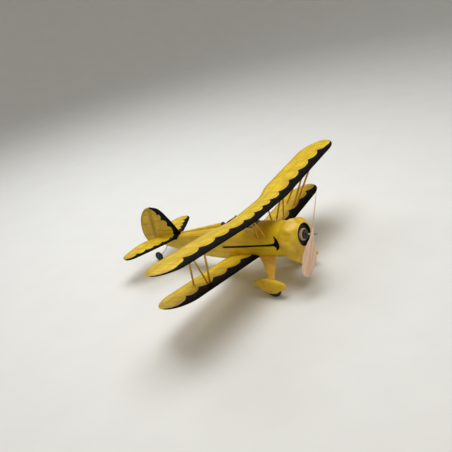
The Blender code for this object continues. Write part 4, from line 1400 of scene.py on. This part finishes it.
@dataclass(frozen=True)
class Headrest:
    """Padded headrest and the narrow ridge that runs from it to the fin."""

    x: float = -143.5
    top_z: float = 32.5
    half_height: float = 9.0
    half_width: float = 7.0
    end_x: float = -275.0
    end_z: float = 12.0
    end_half_width: float = 2.0
    pad_profile: Sequence[tuple[float, float]] = (
        (-1.5, 0.02), (-1.5, 0.5), (-1.5, 0.86), (-1.3, 0.96), (-0.7, 1.0), (-0.2, 0.985), (0.0, 0.94),
        (0.2, 0.985), (0.7, 1.0), (1.3, 0.95), (1.8, 0.84), (2.2, 0.66), (2.35, 0.45), (2.3, 0.25),
        (2.1, 0.1), (2.0, 0.02),
    )

    def pad(self) -> Skin:
        """Crowned pad with a piped seam round it and a dimple in its middle."""
        turn = 2 * math.pi * np.arange(72) / 72
        rings = [
            np.column_stack([
                np.full(72, self.x + off), self.half_width * shrink * np.cos(turn),
                self.top_z - self.half_height + self.half_height * shrink * np.sin(turn)])
            for off, shrink in smooth_line(self.pad_profile, 3)
        ]
        return loft(np.stack(rings))

    def ridge(self) -> Skin:
        """Narrow ridge behind the pad."""
        turn = np.linspace(0, math.pi, 25)
        rings = []
        for share in np.linspace(0, 1, 70):
            x = self.x - 1.8 + (self.end_x - self.x + 1.8) * share
            half = self.half_width + (self.end_half_width - self.half_width) * share
            top = self.top_z - 1 + (self.end_z - self.top_z + 1) * share
            arch = np.column_stack([np.full(25, x), half * np.cos(turn), top - half + half * np.sin(turn)])
            rings.append(np.vstack([arch, [(x, -half, 0.0), (x, half, 0.0)]]))
        return loft(np.stack(rings))

    def build(self, shop: Workshop) -> None:
        """Build and dress the pad and the ridge."""
        pad = shop.add("headrest_pad", self.pad(), VINYL, Slot.LEATHER, ("headrest",))
        plain = {"trim": 50.0, "wood": 6.0}
        shop.add("headrest_ridge", self.ridge(), DECK, Slot.TISSUE, ("headrest_fairing",),
                 marker=lambda points: {label: np.full(len(points), value) for label, value in plain.items()})


@dataclass(frozen=True)
class Cowl:
    """Round cowl of formed plastic with nine rocker bumps, and the nose pieces in its throat.

    An outside row is x, radius, drop of the ring's centre, and depth of the chin below that.
    """

    outside: Sequence[Sequence[float]] = (
        (16.3, 36.2, 8.7, 0.0), (22.0, 38.6, 8.9, 0.8), (29.0, 40.8, 9.6, 2.2), (36.0, 41.6, 10.7, 4.5),
        (42.5, 40.4, 11.2, 5.5), (47.2, 37.6, 10.4, 5.3), (50.6, 33.8, 8.3, 4.5), (53.0, 29.0, 5.0, 3.0),
        (54.5, 25.4, 1.9, 1.2), (55.2, 23.6, 0.4, 0.2), (54.9, 22.5, 0.0, 0.0), (53.8, 21.8, 0.0, 0.0),
        (51.0, 21.7, 0.0, 0.0), (46.0, 21.7, 0.0, 0.0),
    )
    wall: float = 1.6
    bumps: int = 9
    bump_height: float = 3.2
    bump_half_angle: float = math.radians(12)
    bump_rear: float = 18.0
    bump_front: float = 50.5
    sides: int = 216

    def ring(self, x: float, radius: float, drop: float, chin: float, bumped: bool) -> Points:
        """Draw one ring of the cowl.

        Args:
            x: Place along the axis.
            radius: Radius of the ring.
            drop: Depth of its centre below the axis.
            chin: Extra depth of its lower half.
            bumped: Whether the rocker bumps stand on it.

        Returns:
            The level points.
        """
        turn = 2 * math.pi * np.arange(self.sides) / self.sides
        reach = np.full(self.sides, radius)
        if bumped and self.bump_rear < x < self.bump_front:
            pitch = 2 * math.pi / self.bumps
            away = np.abs((turn - math.pi / 2 + pitch / 2) % pitch - pitch / 2) / self.bump_half_angle
            along = (x - self.bump_rear) / (self.bump_front - self.bump_rear)
            rise = np.sin(math.pi * along ** 1.5)
            reach = reach + self.bump_height * rise * np.cos(0.5 * math.pi * np.minimum(away, 1.0)) ** 1.1
        upward = np.sin(turn)
        return np.column_stack([np.full(self.sides, x), reach * np.cos(turn),
                                reach * upward - drop + chin * np.minimum(0.0, upward)])

    def skin(self) -> Skin:
        """Build the shell: outside, lip, throat and inside."""
        outer = smooth_line(self.outside, 6)
        rings = [self.ring(*row, True) for row in outer]
        inner = smooth_line(self.outside[:6], 3)[::-1]
        rings += [self.ring(46.0, 23.3, 0.0, 0.0, False)]
        rings += [self.ring(x, radius - self.wall, drop, chin, False) for x, radius, drop, chin in inner]
        return loft(np.stack(rings), Ends.JOINED)

    def build(self, shop: Workshop) -> None:
        """Build the cowl and the turned pieces in its throat."""
        def marks(points: Points) -> dict[str, np.ndarray]:
            """Black throat, painted shade of the opening's inside, and the glued joint at the cowl's rear
            edge.
            """
            throat = np.where(points[:, 0] > 45.0, np.hypot(points[:, 1], points[:, 2]) - 22.8, 50.0)
            return {"trim": throat, "wood": np.abs(points[:, 0] - 17.6)}

        shop.add("cowl_shell", self.skin(), PLASTIC, Slot.PLASTIC, ("cowl",), marker=marks, sharp=50)
        bore = 1.15
        plate = [(46.3, bore), (46.3, 21.4), (48.9, 21.4), (49.2, 21.1), (49.3, 20.6), (49.3, 16.5),
                 (48.9, 16.1), (48.9, 14.2), (49.3, 13.8), (49.3, bore)]
        block = [(49.6, bore), (49.6, 11.6), (49.9, 12.0), (54.3, 12.0), (55.1, 11.7), (55.6, 10.9),
                 (55.6, bore)]
        button = [(55.9, bore), (55.9, 9.7), (56.2, 10.0), (57.5, 10.0), (58.1, 9.8), (58.5, 9.2),
                  (58.5, 4.2), (58.2, 3.8), (58.2, bore)]
        pipe = [(58.8, bore), (58.8, 1.6), (59.0, 1.7), (67.7, 1.7), (68.0, 1.5), (68.0, bore)]
        for name, profile, finish, slot in (
            ("engine_plate", plate, CARD, Slot.BLACK), ("nose_block", block, NOSE_WOOD, Slot.BARE_WOOD),
            ("nose_button", button, BUTTON, Slot.BLACK), ("thrust_tube", pipe, BRASS, Slot.BRASS),
        ):
            shop.add(name + "_turned", turned(profile, (0.0, 0.0, 0.0), "x"), finish, slot, (name,))
        shop.dress("prop_shaft", STEEL)


@dataclass(frozen=True)
class Propeller:
    """Carved two-blade propeller.

    An outline row is radius, reach ahead of the blade's line and reach behind it; a depth row is
    radius and depth.
    """

    x: float = 73.0
    hub_radius: float = 9.0
    radius: float = 82.5
    root_angle: float = math.radians(38)
    tip_angle: float = math.radians(32)
    rest_angle: float = math.radians(40)
    outline: Sequence[tuple[float, float, float]] = (
        (0, 3.4, 3.4), (9, 4.3, 4.2), (19, 8.6, 8.0), (31, 10.8, 11.4), (44.5, 14.2, 13.8), (56, 12.6, 14.0),
        (67, 10.2, 13.4), (75.8, 7.6, 12.0), (80.5, 5.2, 9.2), (82.5, 2.0, 5.0),
    )
    depth: Sequence[tuple[float, float]] = (
        (0, 6.5), (9, 5.5), (19, 3.2), (44.5, 2.4), (67, 1.8), (82.5, 1.2),
    )

    def direction(self) -> np.ndarray:
        """Level direction of the first blade at rest."""
        return np.array([0.0, -math.sin(self.rest_angle), -math.cos(self.rest_angle)])

    def angle(self, station: float) -> float:
        """Find the angle of the chord from the plane of the disc.

        Args:
            station: Signed radius.

        Returns:
            The angle, which turns over inside the hub.
        """
        radius = abs(station)
        if radius < self.hub_radius:
            angle = 0.5 * math.pi + (self.root_angle - 0.5 * math.pi) * radius / self.hub_radius
        else:
            share = (radius - self.hub_radius) / (self.radius - self.hub_radius)
            angle = self.root_angle + (self.tip_angle - self.root_angle) * share
        return angle if station >= 0 else math.pi - angle

    def build(self, shop: Workshop) -> None:
        """Build and dress the propeller."""
        forward = np.array([1.0, 0.0, 0.0])
        blade = self.direction()
        tangent = np.cross(forward, blade)
        rows = smooth_line(self.outline, 6)
        depths = np.asarray(self.depth, dtype=float)
        turn = 2 * math.pi * np.arange(48) / 48
        rings, edges = [], []
        for sign, (radius, ahead, behind) in [(-1, row) for row in rows[:0:-1]] + [(1, row) for row in rows]:
            angle = self.angle(sign * radius)
            chord = math.cos(angle) * tangent + math.sin(angle) * forward
            face = np.cross(blade, chord)
            centre = blade * sign * radius + chord * (0.5 * (ahead - behind)) + forward * self.x
            width = 0.5 * (ahead + behind)
            half = 0.5 * np.interp(radius, depths[:, 0], depths[:, 1])
            lens = np.sign(np.sin(turn)) * np.abs(np.sin(turn)) ** (1.25 if radius > self.hub_radius else 1.0)
            rings.append(centre + np.outer(width * np.cos(turn), chord) + np.outer(half * lens, face))
            edges.append(np.minimum(width * (1 - np.abs(np.cos(turn))), self.radius - radius + 0.3))
        wood = BladeWood("carved_sealed_basswood", 0.4, 1.5, "#E6C6AC", "#D4AE92", line_mm=1.3, gloss=0.2,
                         blade=tuple(shop.level.directions(blade[None, :])[0]))
        shop.add("propeller_carved", loft(np.stack(rings)), wood, Slot.BARE_WOOD, ("propeller",),
                 Body.AIRSCREW, marker=lambda points: {"wood": np.concatenate(edges)})


@dataclass(frozen=True)
class Strut:
    """Flattened wooden strut between two places, its ends let into what it joins."""

    name: str
    foot: np.ndarray
    head: np.ndarray
    lengthwise: float
    crosswise: float

    def build(self, shop: Workshop) -> None:
        """Build and dress the strut."""
        along = (self.head - self.foot) / np.linalg.norm(self.head - self.foot)
        forward = np.array([1.0, 0.0, 0.0]) - along * along[0]
        forward /= np.linalg.norm(forward)
        sideways = np.cross(along, forward)
        turn = 2 * math.pi * np.arange(28) / 28
        rings = []
        for share in np.linspace(0, 1, 25):
            # The strut is a touch slimmer at its ends, as sanded ones are
            fat = 0.88 + 0.12 * math.sin(math.pi * share) ** 0.4
            rings.append(self.foot + (self.head - self.foot) * share
                         + np.outer(0.5 * self.lengthwise * fat * np.cos(turn), forward)
                         + np.outer(0.5 * self.crosswise * np.sin(turn), sideways))
        shop.add(self.name + "_sanded", loft(np.stack(rings)), STRUT_PAINT, Slot.WOOD, (self.name,))


@dataclass(frozen=True)
class StrutSet:
    """Interplane struts, and the cabane struts beside the deck, on both sides.

    The interplane ends are span and share of the chord; a cabane row is place, foot and head.
    """

    front: tuple[tuple[float, float], tuple[float, float]] = ((162.0, 0.24), (198.0, 0.165))
    rear: tuple[tuple[float, float], tuple[float, float]] = ((173.0, 0.62), (212.0, 0.49))
    diagonal_inset: tuple[float, float] = (6.5, 6.0)
    sink: float = 2.5
    cabane: Sequence[tuple[str, Sequence[float], Sequence[float]]] = (
        ("front", (-12.0, 31.0, 5.2), (-10.5, 56.0, 60.0)),
        ("diagonal", (-32.8, 31.0, 5.4), (-16.2, 56.0, 60.0)),
        ("rear", (-38.2, 30.8, 5.2), (-61.0, 57.0, 59.8)),
    )

    def build(self, shop: Workshop, upper: Wing, lower: Wing) -> None:
        """Build and dress every strut.

        Args:
            shop: The workshop.
            upper: The upper wing.
            lower: A lower wing, for its chord line.
        """
        lift = np.array([0.0, 0.0, self.sink])
        for side in Side:
            ends = {}
            for place, (foot, head) in (("front", self.front), ("rear", self.rear)):
                ends[place] = (lower.chord_place(*foot, side) + lift, upper.chord_place(*head, side) + lift)
            ends["diagonal"] = (ends["front"][0] - (self.diagonal_inset[0], 0.0, 0.0),
                                ends["rear"][1] + (self.diagonal_inset[1], 0.0, 0.0))
            for place, (foot, head) in ends.items():
                Strut(f"interplane_strut_{place}_{side.word}", foot, head, 4.6, 2.4).build(shop)
            for place, *line in self.cabane:
                foot, head = (np.array([x, side.value * y, z]) for x, y, z in line)
                Strut(f"cabane_strut_{place}_{side.word}", foot, head, 3.8, 2.2).build(shop)


@dataclass(frozen=True)
class MainGear:
    """One main leg with its spat, tyre, hub and axle.

    A spat row is x, top, bottom and half width; a leg row is rear x, front x, y and z.
    """

    side: Side
    wheel: tuple[float, float, float] = (-8.85, 65.0, -86.0)
    wheel_radius: float = 17.5
    wheel_half: float = 3.8
    tyre_round: float = 3.6
    well_reach: float = 19.5
    well_half: float = 5.0
    leg_thickness: float = 3.6
    spat_rows: Sequence[tuple[float, float, float, float]] = (
        (-58.0, -76.8, -78.2, 0.7), (-55.0, -72.0, -79.2, 3.0), (-49.7, -68.2, -80.5, 5.4),
        (-39.8, -64.9, -86.0, 8.2), (-26.7, -63.2, -92.5, 10.1), (-14.0, -63.6, -96.3, 10.5),
        (-2.0, -65.4, -96.0, 9.9), (7.8, -68.2, -91.5, 8.1), (17.0, -72.0, -86.3, 5.2),
        (22.5, -75.2, -82.3, 2.6), (24.4, -77.6, -79.6, 0.8),
    )
    leg_rows: Sequence[tuple[float, float, float, float]] = (
        (-52.5, -11.0, 22.5, -30.5), (-46.9, -8.9, 30.0, -36.5), (-36.2, -5.8, 40.0, -44.3),
        (-27.5, -3.7, 49.0, -52.6), (-20.9, -1.4, 57.0, -59.3), (-16.0, 0.2, 62.5, -64.0),
        (-15.4, 0.4, 63.4, -65.6),
    )

    def centre(self) -> np.ndarray:
        """Middle of the wheel."""
        return np.array([self.wheel[0], self.side.value * self.wheel[1], self.wheel[2]])

    def spat(self) -> Skin:
        """Teardrop shell of the spat."""
        turn = 2 * math.pi * np.arange(72) / 72
        rings = [
            np.column_stack([
                np.full(72, x), self.side.value * self.wheel[1] + half * np.cos(turn),
                0.5 * (top + bottom) + 0.5 * (top - bottom) * np.sin(turn)])
            for x, top, bottom, half in smooth_line(self.spat_rows, 7)
        ]
        return loft(np.stack(rings))

    def leg(self) -> Skin:
        """Broad faired leg."""
        rows = smooth_line(self.leg_rows, 6)
        down = np.gradient(rows[:, 2:], axis=0)
        down /= np.linalg.norm(down, axis=1)[:, None]
        turn = 2 * math.pi * np.arange(56) / 56
        rings = []
        for (rear, front, y, z), (out, fall) in zip(rows, down):
            off = 0.5 * self.leg_thickness * np.sin(turn)
            rings.append(np.column_stack([
                0.5 * (rear + front) + 0.5 * (front - rear) * np.cos(turn),
                self.side.value * (y - off * fall), z + off * out]))
        return loft(np.stack(rings))

    def tyre(self) -> Skin:
        """Rounded tyre with a bead on each wall."""
        inner = self.wheel_radius - self.tyre_round
        profile = [(-2.2, 9.6), (-2.9, 10.2), (-3.1, 11.0), (-2.9, 11.8), (-3.2, 12.4)]
        for share in np.linspace(0.06, 0.94, 23):
            angle = math.pi * share
            profile.append((-self.wheel_half * math.cos(angle), inner + self.tyre_round * math.sin(angle)))
        profile += [(-along, radius) for along, radius in profile[4::-1]]
        return turned(profile, self.centre(), "y")

    def hub(self) -> Skin:
        """Dished hub with a raised boss."""
        profile = [(-3.1, 1.1), (-3.1, 3.0), (-2.8, 3.4), (-1.7, 4.2), (-1.5, 6.0), (-1.8, 8.2), (-2.2, 9.4)]
        profile += [(-along, radius) for along, radius in profile[::-1]]
        return turned(profile, self.centre(), "y")

    def build(self, shop: Workshop) -> None:
        """Build and dress the gear of one side."""
        word, centre = self.side.word, self.centre()
        body = Body.LEFT_WHEEL if self.side is Side.LEFT else Body.RIGHT_WHEEL
        well = turned([(-self.well_half, 0.01), (-self.well_half, self.well_reach),
                       (self.well_half, self.well_reach), (self.well_half, 0.01)], centre, "y", 128)

        def seam(points: Points) -> dict[str, np.ndarray]:
            """Seam where the two halves of the spat are glued, and no trim."""
            return {"trim": np.full(len(points), 50.0), "wood": np.abs(points[:, 1] - centre[1])}

        shop.add("spat_" + word + "_shell", self.spat(), PLASTIC, Slot.PLASTIC, ("spat_" + word,),
                 marker=seam, wells=[(well, PLASTIC)], sharp=50)
        shop.add("gear_leg_" + word + "_faired", self.leg(), LEG_PAINT, Slot.WOOD, ("gear_leg_" + word,))
        shop.add("wheel_" + word + "_tyre", self.tyre(), RUBBER, Slot.RUBBER, ("wheel_" + word,), body)
        shop.add("wheel_" + word + "_hub", self.hub(), HUB_PLASTIC, Slot.RUBBER, (), body)
        shop.dress("axle_" + word, STEEL)


@dataclass(frozen=True)
class TailGear:
    """Tail wheel on its bent wire."""

    centre: tuple[float, float, float] = (-378.5, 0.0, -51.5)
    radius: float = 11.0
    half: float = 2.5
    tyre_round: float = 2.4

    def build(self, shop: Workshop) -> None:
        """Build the wheel and dress its wire."""
        inner = self.radius - self.tyre_round
        tyre = [(-1.5, 6.0), (-2.1, 6.5), (-2.25, 7.2)]
        for share in np.linspace(0.08, 0.92, 17):
            angle = math.pi * share
            tyre.append((-self.half * math.cos(angle), inner + self.tyre_round * math.sin(angle)))
        tyre += [(-along, radius) for along, radius in tyre[2::-1]]
        hub = [(-2.1, 1.0), (-2.1, 2.0), (-1.2, 2.8), (-1.1, 4.6), (-1.5, 5.8)]
        hub += [(-along, radius) for along, radius in hub[::-1]]
        shop.add("tail_wheel_tyre", turned(tyre, self.centre, "y"), RUBBER, Slot.RUBBER, ("tail_wheel",),
                 Body.TAIL_WHEEL)
        shop.add("tail_wheel_hub", turned(hub, self.centre, "y"), HUB_PLASTIC, Slot.RUBBER, (),
                 Body.TAIL_WHEEL)
        shop.dress("tail_wheel_wire", STEEL)


@dataclass(frozen=True)
class PaintedCyclorama(Finish):
    """Studio wall and floor rolled with pale matt emulsion: almost even, with faint roller mottle."""

    colour: str = "#EAEAE7"
    shade: str = "#E2E2DF"

    def paint(self, tree: bpy.types.NodeTree, shader: bpy.types.Node) -> None:
        """Lay the emulsion.

        Args:
            tree: The material's node tree.
            shader: Its Principled shader.
        """
        mottle = Mottle(90.0).values(tree)
        colour = Tint(0.3, 0.7, self.shade, 0.0, 0.25).over(tree, mottle, linear(self.colour))
        tree.links.new(colour, shader.inputs["Base Color"])
        self.relief(tree, shader, ((mottle, 0.1),))


@dataclass(frozen=True)
class Studio:
    """Pale bowl-shaped floor, soft lamps, and the camera at the photograph's viewing angle."""

    floor_radius: float = 2.4
    wall_radius: float = 4.2
    wall_height: float = 3.6
    azimuth: float = math.radians(50.27)
    elevation: float = math.radians(19.53)
    roll: float = math.radians(-18.42)
    distance_mm: float = 1260.5
    focal_pixels: float = 643.2
    centre_pixels: tuple[float, float] = (272.56, 207.68)
    target_z_mm: float = 60.0
    sensor_mm: float = 36.0

    def floor(self) -> None:
        """Build the floor and its upswept wall in one piece."""
        sides = 160
        turn = 2 * math.pi * np.arange(sides) / sides
        sweep = np.linspace(0, math.pi / 2, 16)
        rows = [(radius, 0.0) for radius in (0.15, 0.8, self.floor_radius)]
        rise = self.wall_radius - self.floor_radius
        rows += [(self.floor_radius + rise * math.sin(a), rise * (1 - math.cos(a))) for a in sweep[1:]]
        rows += [(self.wall_radius, self.wall_height)]
        points = [(radius * math.cos(a), radius * math.sin(a), z) for radius, z in rows for a in turn]
        faces = [tuple(range(sides))]
        for row in range(len(rows) - 1):
            for index in range(sides):
                after = (index + 1) % sides
                near, far = row * sides, (row + 1) * sides
                faces.append((near + index, far + index, far + after, near + after))
        mesh = bpy.data.meshes.new("studio_floor")
        mesh.from_pydata(points, [], faces)
        mesh.shade_smooth()
        mesh.materials.append(PaintedCyclorama("matt_emulsion_cyclorama", 0.9).material())
        piece = bpy.data.objects.new("studio_floor", mesh)
        bpy.context.scene.collection.objects.link(piece)

    @staticmethod
    def lamp(name: str, place: Sequence[float], size: float, watts: float, colour: str) -> None:
        """Hang one soft square lamp aimed at the model.

        Args:
            name: Name of the lamp.
            place: Its place in metres.
            size: Length of a side in metres.
            watts: Its power.
            colour: Its colour.
        """
        light = bpy.data.lights.new(name, "AREA")
        light.shape = "SQUARE"
        light.size = size
        light.energy = watts
        light.color = linear(colour)[:3]
        thing = bpy.data.objects.new(name, light)
        thing.location = place
        thing.rotation_euler = (Vector((0.0, 0.0, 0.08)) - Vector(place)).to_track_quat("-Z", "Y").to_euler()
        bpy.context.scene.collection.objects.link(thing)

    def lights(self) -> None:
        """Set the lamps and the soft sky."""
        self.lamp("overhead_softbox", (0.1, 0.15, 1.7), 1.1, 19.0, "#FDFEFF")
        self.lamp("front_softbox", (1.3, -1.0, 1.0), 0.9, 3.5, "#FFF0DC")
        self.lamp("rear_softbox", (-1.1, 0.4, 1.3), 0.9, 8.0, "#FBFCFF")
        world = bpy.data.worlds.new("soft_sky")
        bpy.context.scene.world = world
        world.use_nodes = True
        sky = world.node_tree.nodes["Background"]
        sky.inputs["Color"].default_value = linear("#F2EEE6")
        sky.inputs["Strength"].default_value = 0.32
        bpy.context.scene.view_settings.view_transform = "Standard"

    def camera(self, level: LevelFrame) -> None:
        """Set the camera as it stood for the photograph.

        Args:
            level: The level frame, in which its angles were found.
        """
        outward = np.array([math.cos(self.azimuth) * math.cos(self.elevation),
                            -math.sin(self.azimuth) * math.cos(self.elevation), math.sin(self.elevation)])
        right = np.cross(-outward, (0.0, 0.0, 1.0))
        right /= np.linalg.norm(right)
        upward = np.cross(right, -outward)
        turned_right = math.cos(self.roll) * right + math.sin(self.roll) * upward
        turned_up = -math.sin(self.roll) * right + math.cos(self.roll) * upward
        axes = level.directions(np.stack([turned_right, turned_up, outward]))
        place = level.places((outward * self.distance_mm + (0.0, 0.0, self.target_z_mm))[None, :])[0]
        lens = bpy.data.cameras.new("photo_camera")
        lens.sensor_width = self.sensor_mm
        lens.lens = self.focal_pixels * self.sensor_mm / PICTURE_PIXELS
        middle = 0.5 * PICTURE_PIXELS
        lens.shift_x = (middle - self.centre_pixels[0]) / PICTURE_PIXELS
        lens.shift_y = (self.centre_pixels[1] - middle) / PICTURE_PIXELS
        lens.clip_start = 0.02
        lens.clip_end = 50.0
        camera = bpy.data.objects.new("photo_camera", lens)
        bpy.context.scene.collection.objects.link(camera)
        rotation = Matrix([[float(axes[column][row]) for column in range(3)] for row in range(3)])
        camera.matrix_world = Matrix.Translation(Vector(place)) @ rotation.to_4x4()
        bpy.context.scene.camera = camera

    def build(self, level: LevelFrame) -> None:
        """Set the whole studio."""
        self.floor()
        self.lights()
        self.camera(level)


LOWER_SCALLOPS = Scallops((12.0, 55.0, 100.0, 143.0, 186.0, 229.0), 28.0, 18.0,
                          ((234.0, 20.0), (241.0, 14.5), (250.0, 9.0), (262.0, 4.0), (285.0, 1.5),
                           (320.0, 0.8)))
UPPER_WING = Wing(
    "upper_wing", 305.0, 56.0, math.radians(6.2), (0.0, 60.3), 108.0, 0.0,
    Scallops((0.0, 28.0, 64.0, 109.0, 151.0, 197.0, 241.0), 25.0, 16.5,
             ((246.0, 18.0), (253.0, 13.5), (264.0, 11.0), (276.0, 6.5), (290.0, 3.0), (320.0, 1.0),
              (350.0, 0.6))),
)


def lower_wing(side: Side) -> Wing:
    """Give the lower wing of one side."""
    return Wing("lower_wing_" + side.word, 268.0, 32.0, math.radians(7.0), (-49.0, -33.5), 0.0, 24.0,
                LOWER_SCALLOPS, (side,))


def tail_surfaces() -> list[TailSurface]:
    """Give the fin, the rudder and both halves of the tailplane."""
    post_x, post_z = (-347.0, -364.5), (76.5, -15.0)
    slope = (post_x[1] - post_x[0]) / (post_z[1] - post_z[0])

    def post(z: float, gap: float = 0.0) -> tuple[float, float]:
        """Place on the rudder post at a height."""
        return post_x[0] + (z - post_z[0]) * slope - gap, z

    fin = TailSurface(
        "fin", ((-270, 2), (-281, 14), (-293, 35), (-304, 51), (-314, 64), (-326, 72.5), (-347, 76.5)),
        (post(2), post(40), post(76.5)), True, (((-262, 18), post(18)), ((-280, 46), post(40))),
        Scallops((-2.0, 21.5, 44.0, 65.0, 87.0), 21.0, 11.0,
                 ((90.0, 14.0), (95.0, 9.5), (103.0, 5.0), (113.0, 1.0))),
    )
    rudder = TailSurface(
        "rudder", (post(-15, 0.6), post(20, 0.6), post(50, 0.6), post(76.2, 0.6)),
        ((-378, -17.5), (-394, -7), (-399.5, 14), (-393, 40), (-381, 59), (-364, 72.5), (-348, 76.3)),
        True, ((post(35), (-405, 35)), (post(8), (-405, 6)), (post(60), (-392, 56))),
    )
    half = [
        TailSurface(
            "tailplane_" + side.word,
            ((-289, 4), (-294, 16), (-303, 36), (-316, 60), (-330, 84), (-342, 101), (-356, 107.5)),
            ((-357, 7), (-371, 20), (-380, 36), (-382, 62), (-379, 88), (-371, 102), (-356, 107.5)),
            False, (((-290, 34), (-390, 34)), ((-300, 60), (-390, 60)), ((-310, 84), (-390, 84)),
                    ((-352, 0), (-352, 110))),
            Scallops((-10.0, 12.0, 33.0, 54.0, 75.0, 96.0), 16.5, 9.0,
                     ((99.0, 11.0), (105.0, 7.0), (114.0, 3.5), (127.0, 0.8))),
            side,
        )
        for side in Side
    ]
    return [fin, rudder, *half]


def main() -> None:
    """Build and dress the whole model, then set the studio."""
    logging.basicConfig(level=logging.INFO, format="%(message)s")
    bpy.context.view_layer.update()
    spin = next(joint for joint in frame["joints"] if joint["name"] == "propeller_spin")
    level = LevelFrame(spin["pos_m"], spin["axis"], Propeller().x)
    shop = Workshop(level)
    fuselage = Fuselage()
    fuselage.build(shop)
    Windscreen("windscreen_front", fuselage.cockpits[0], 35.0, 1.2, fuselage).build(shop)
    Windscreen("windscreen_rear", fuselage.cockpits[1], 42.5, 3.3, fuselage).build(shop)
    Headrest().build(shop)
    UPPER_WING.build(shop)
    for side in Side:
        lower_wing(side).build(shop)
        MainGear(side).build(shop)
    StrutSet().build(shop, UPPER_WING, lower_wing(Side.LEFT))
    for surface in tail_surfaces():
        surface.build(shop)
    Cowl().build(shop)
    Propeller().build(shop)
    TailGear().build(shop)
    Studio().build(level)


if __name__ == "__main__":
    main()
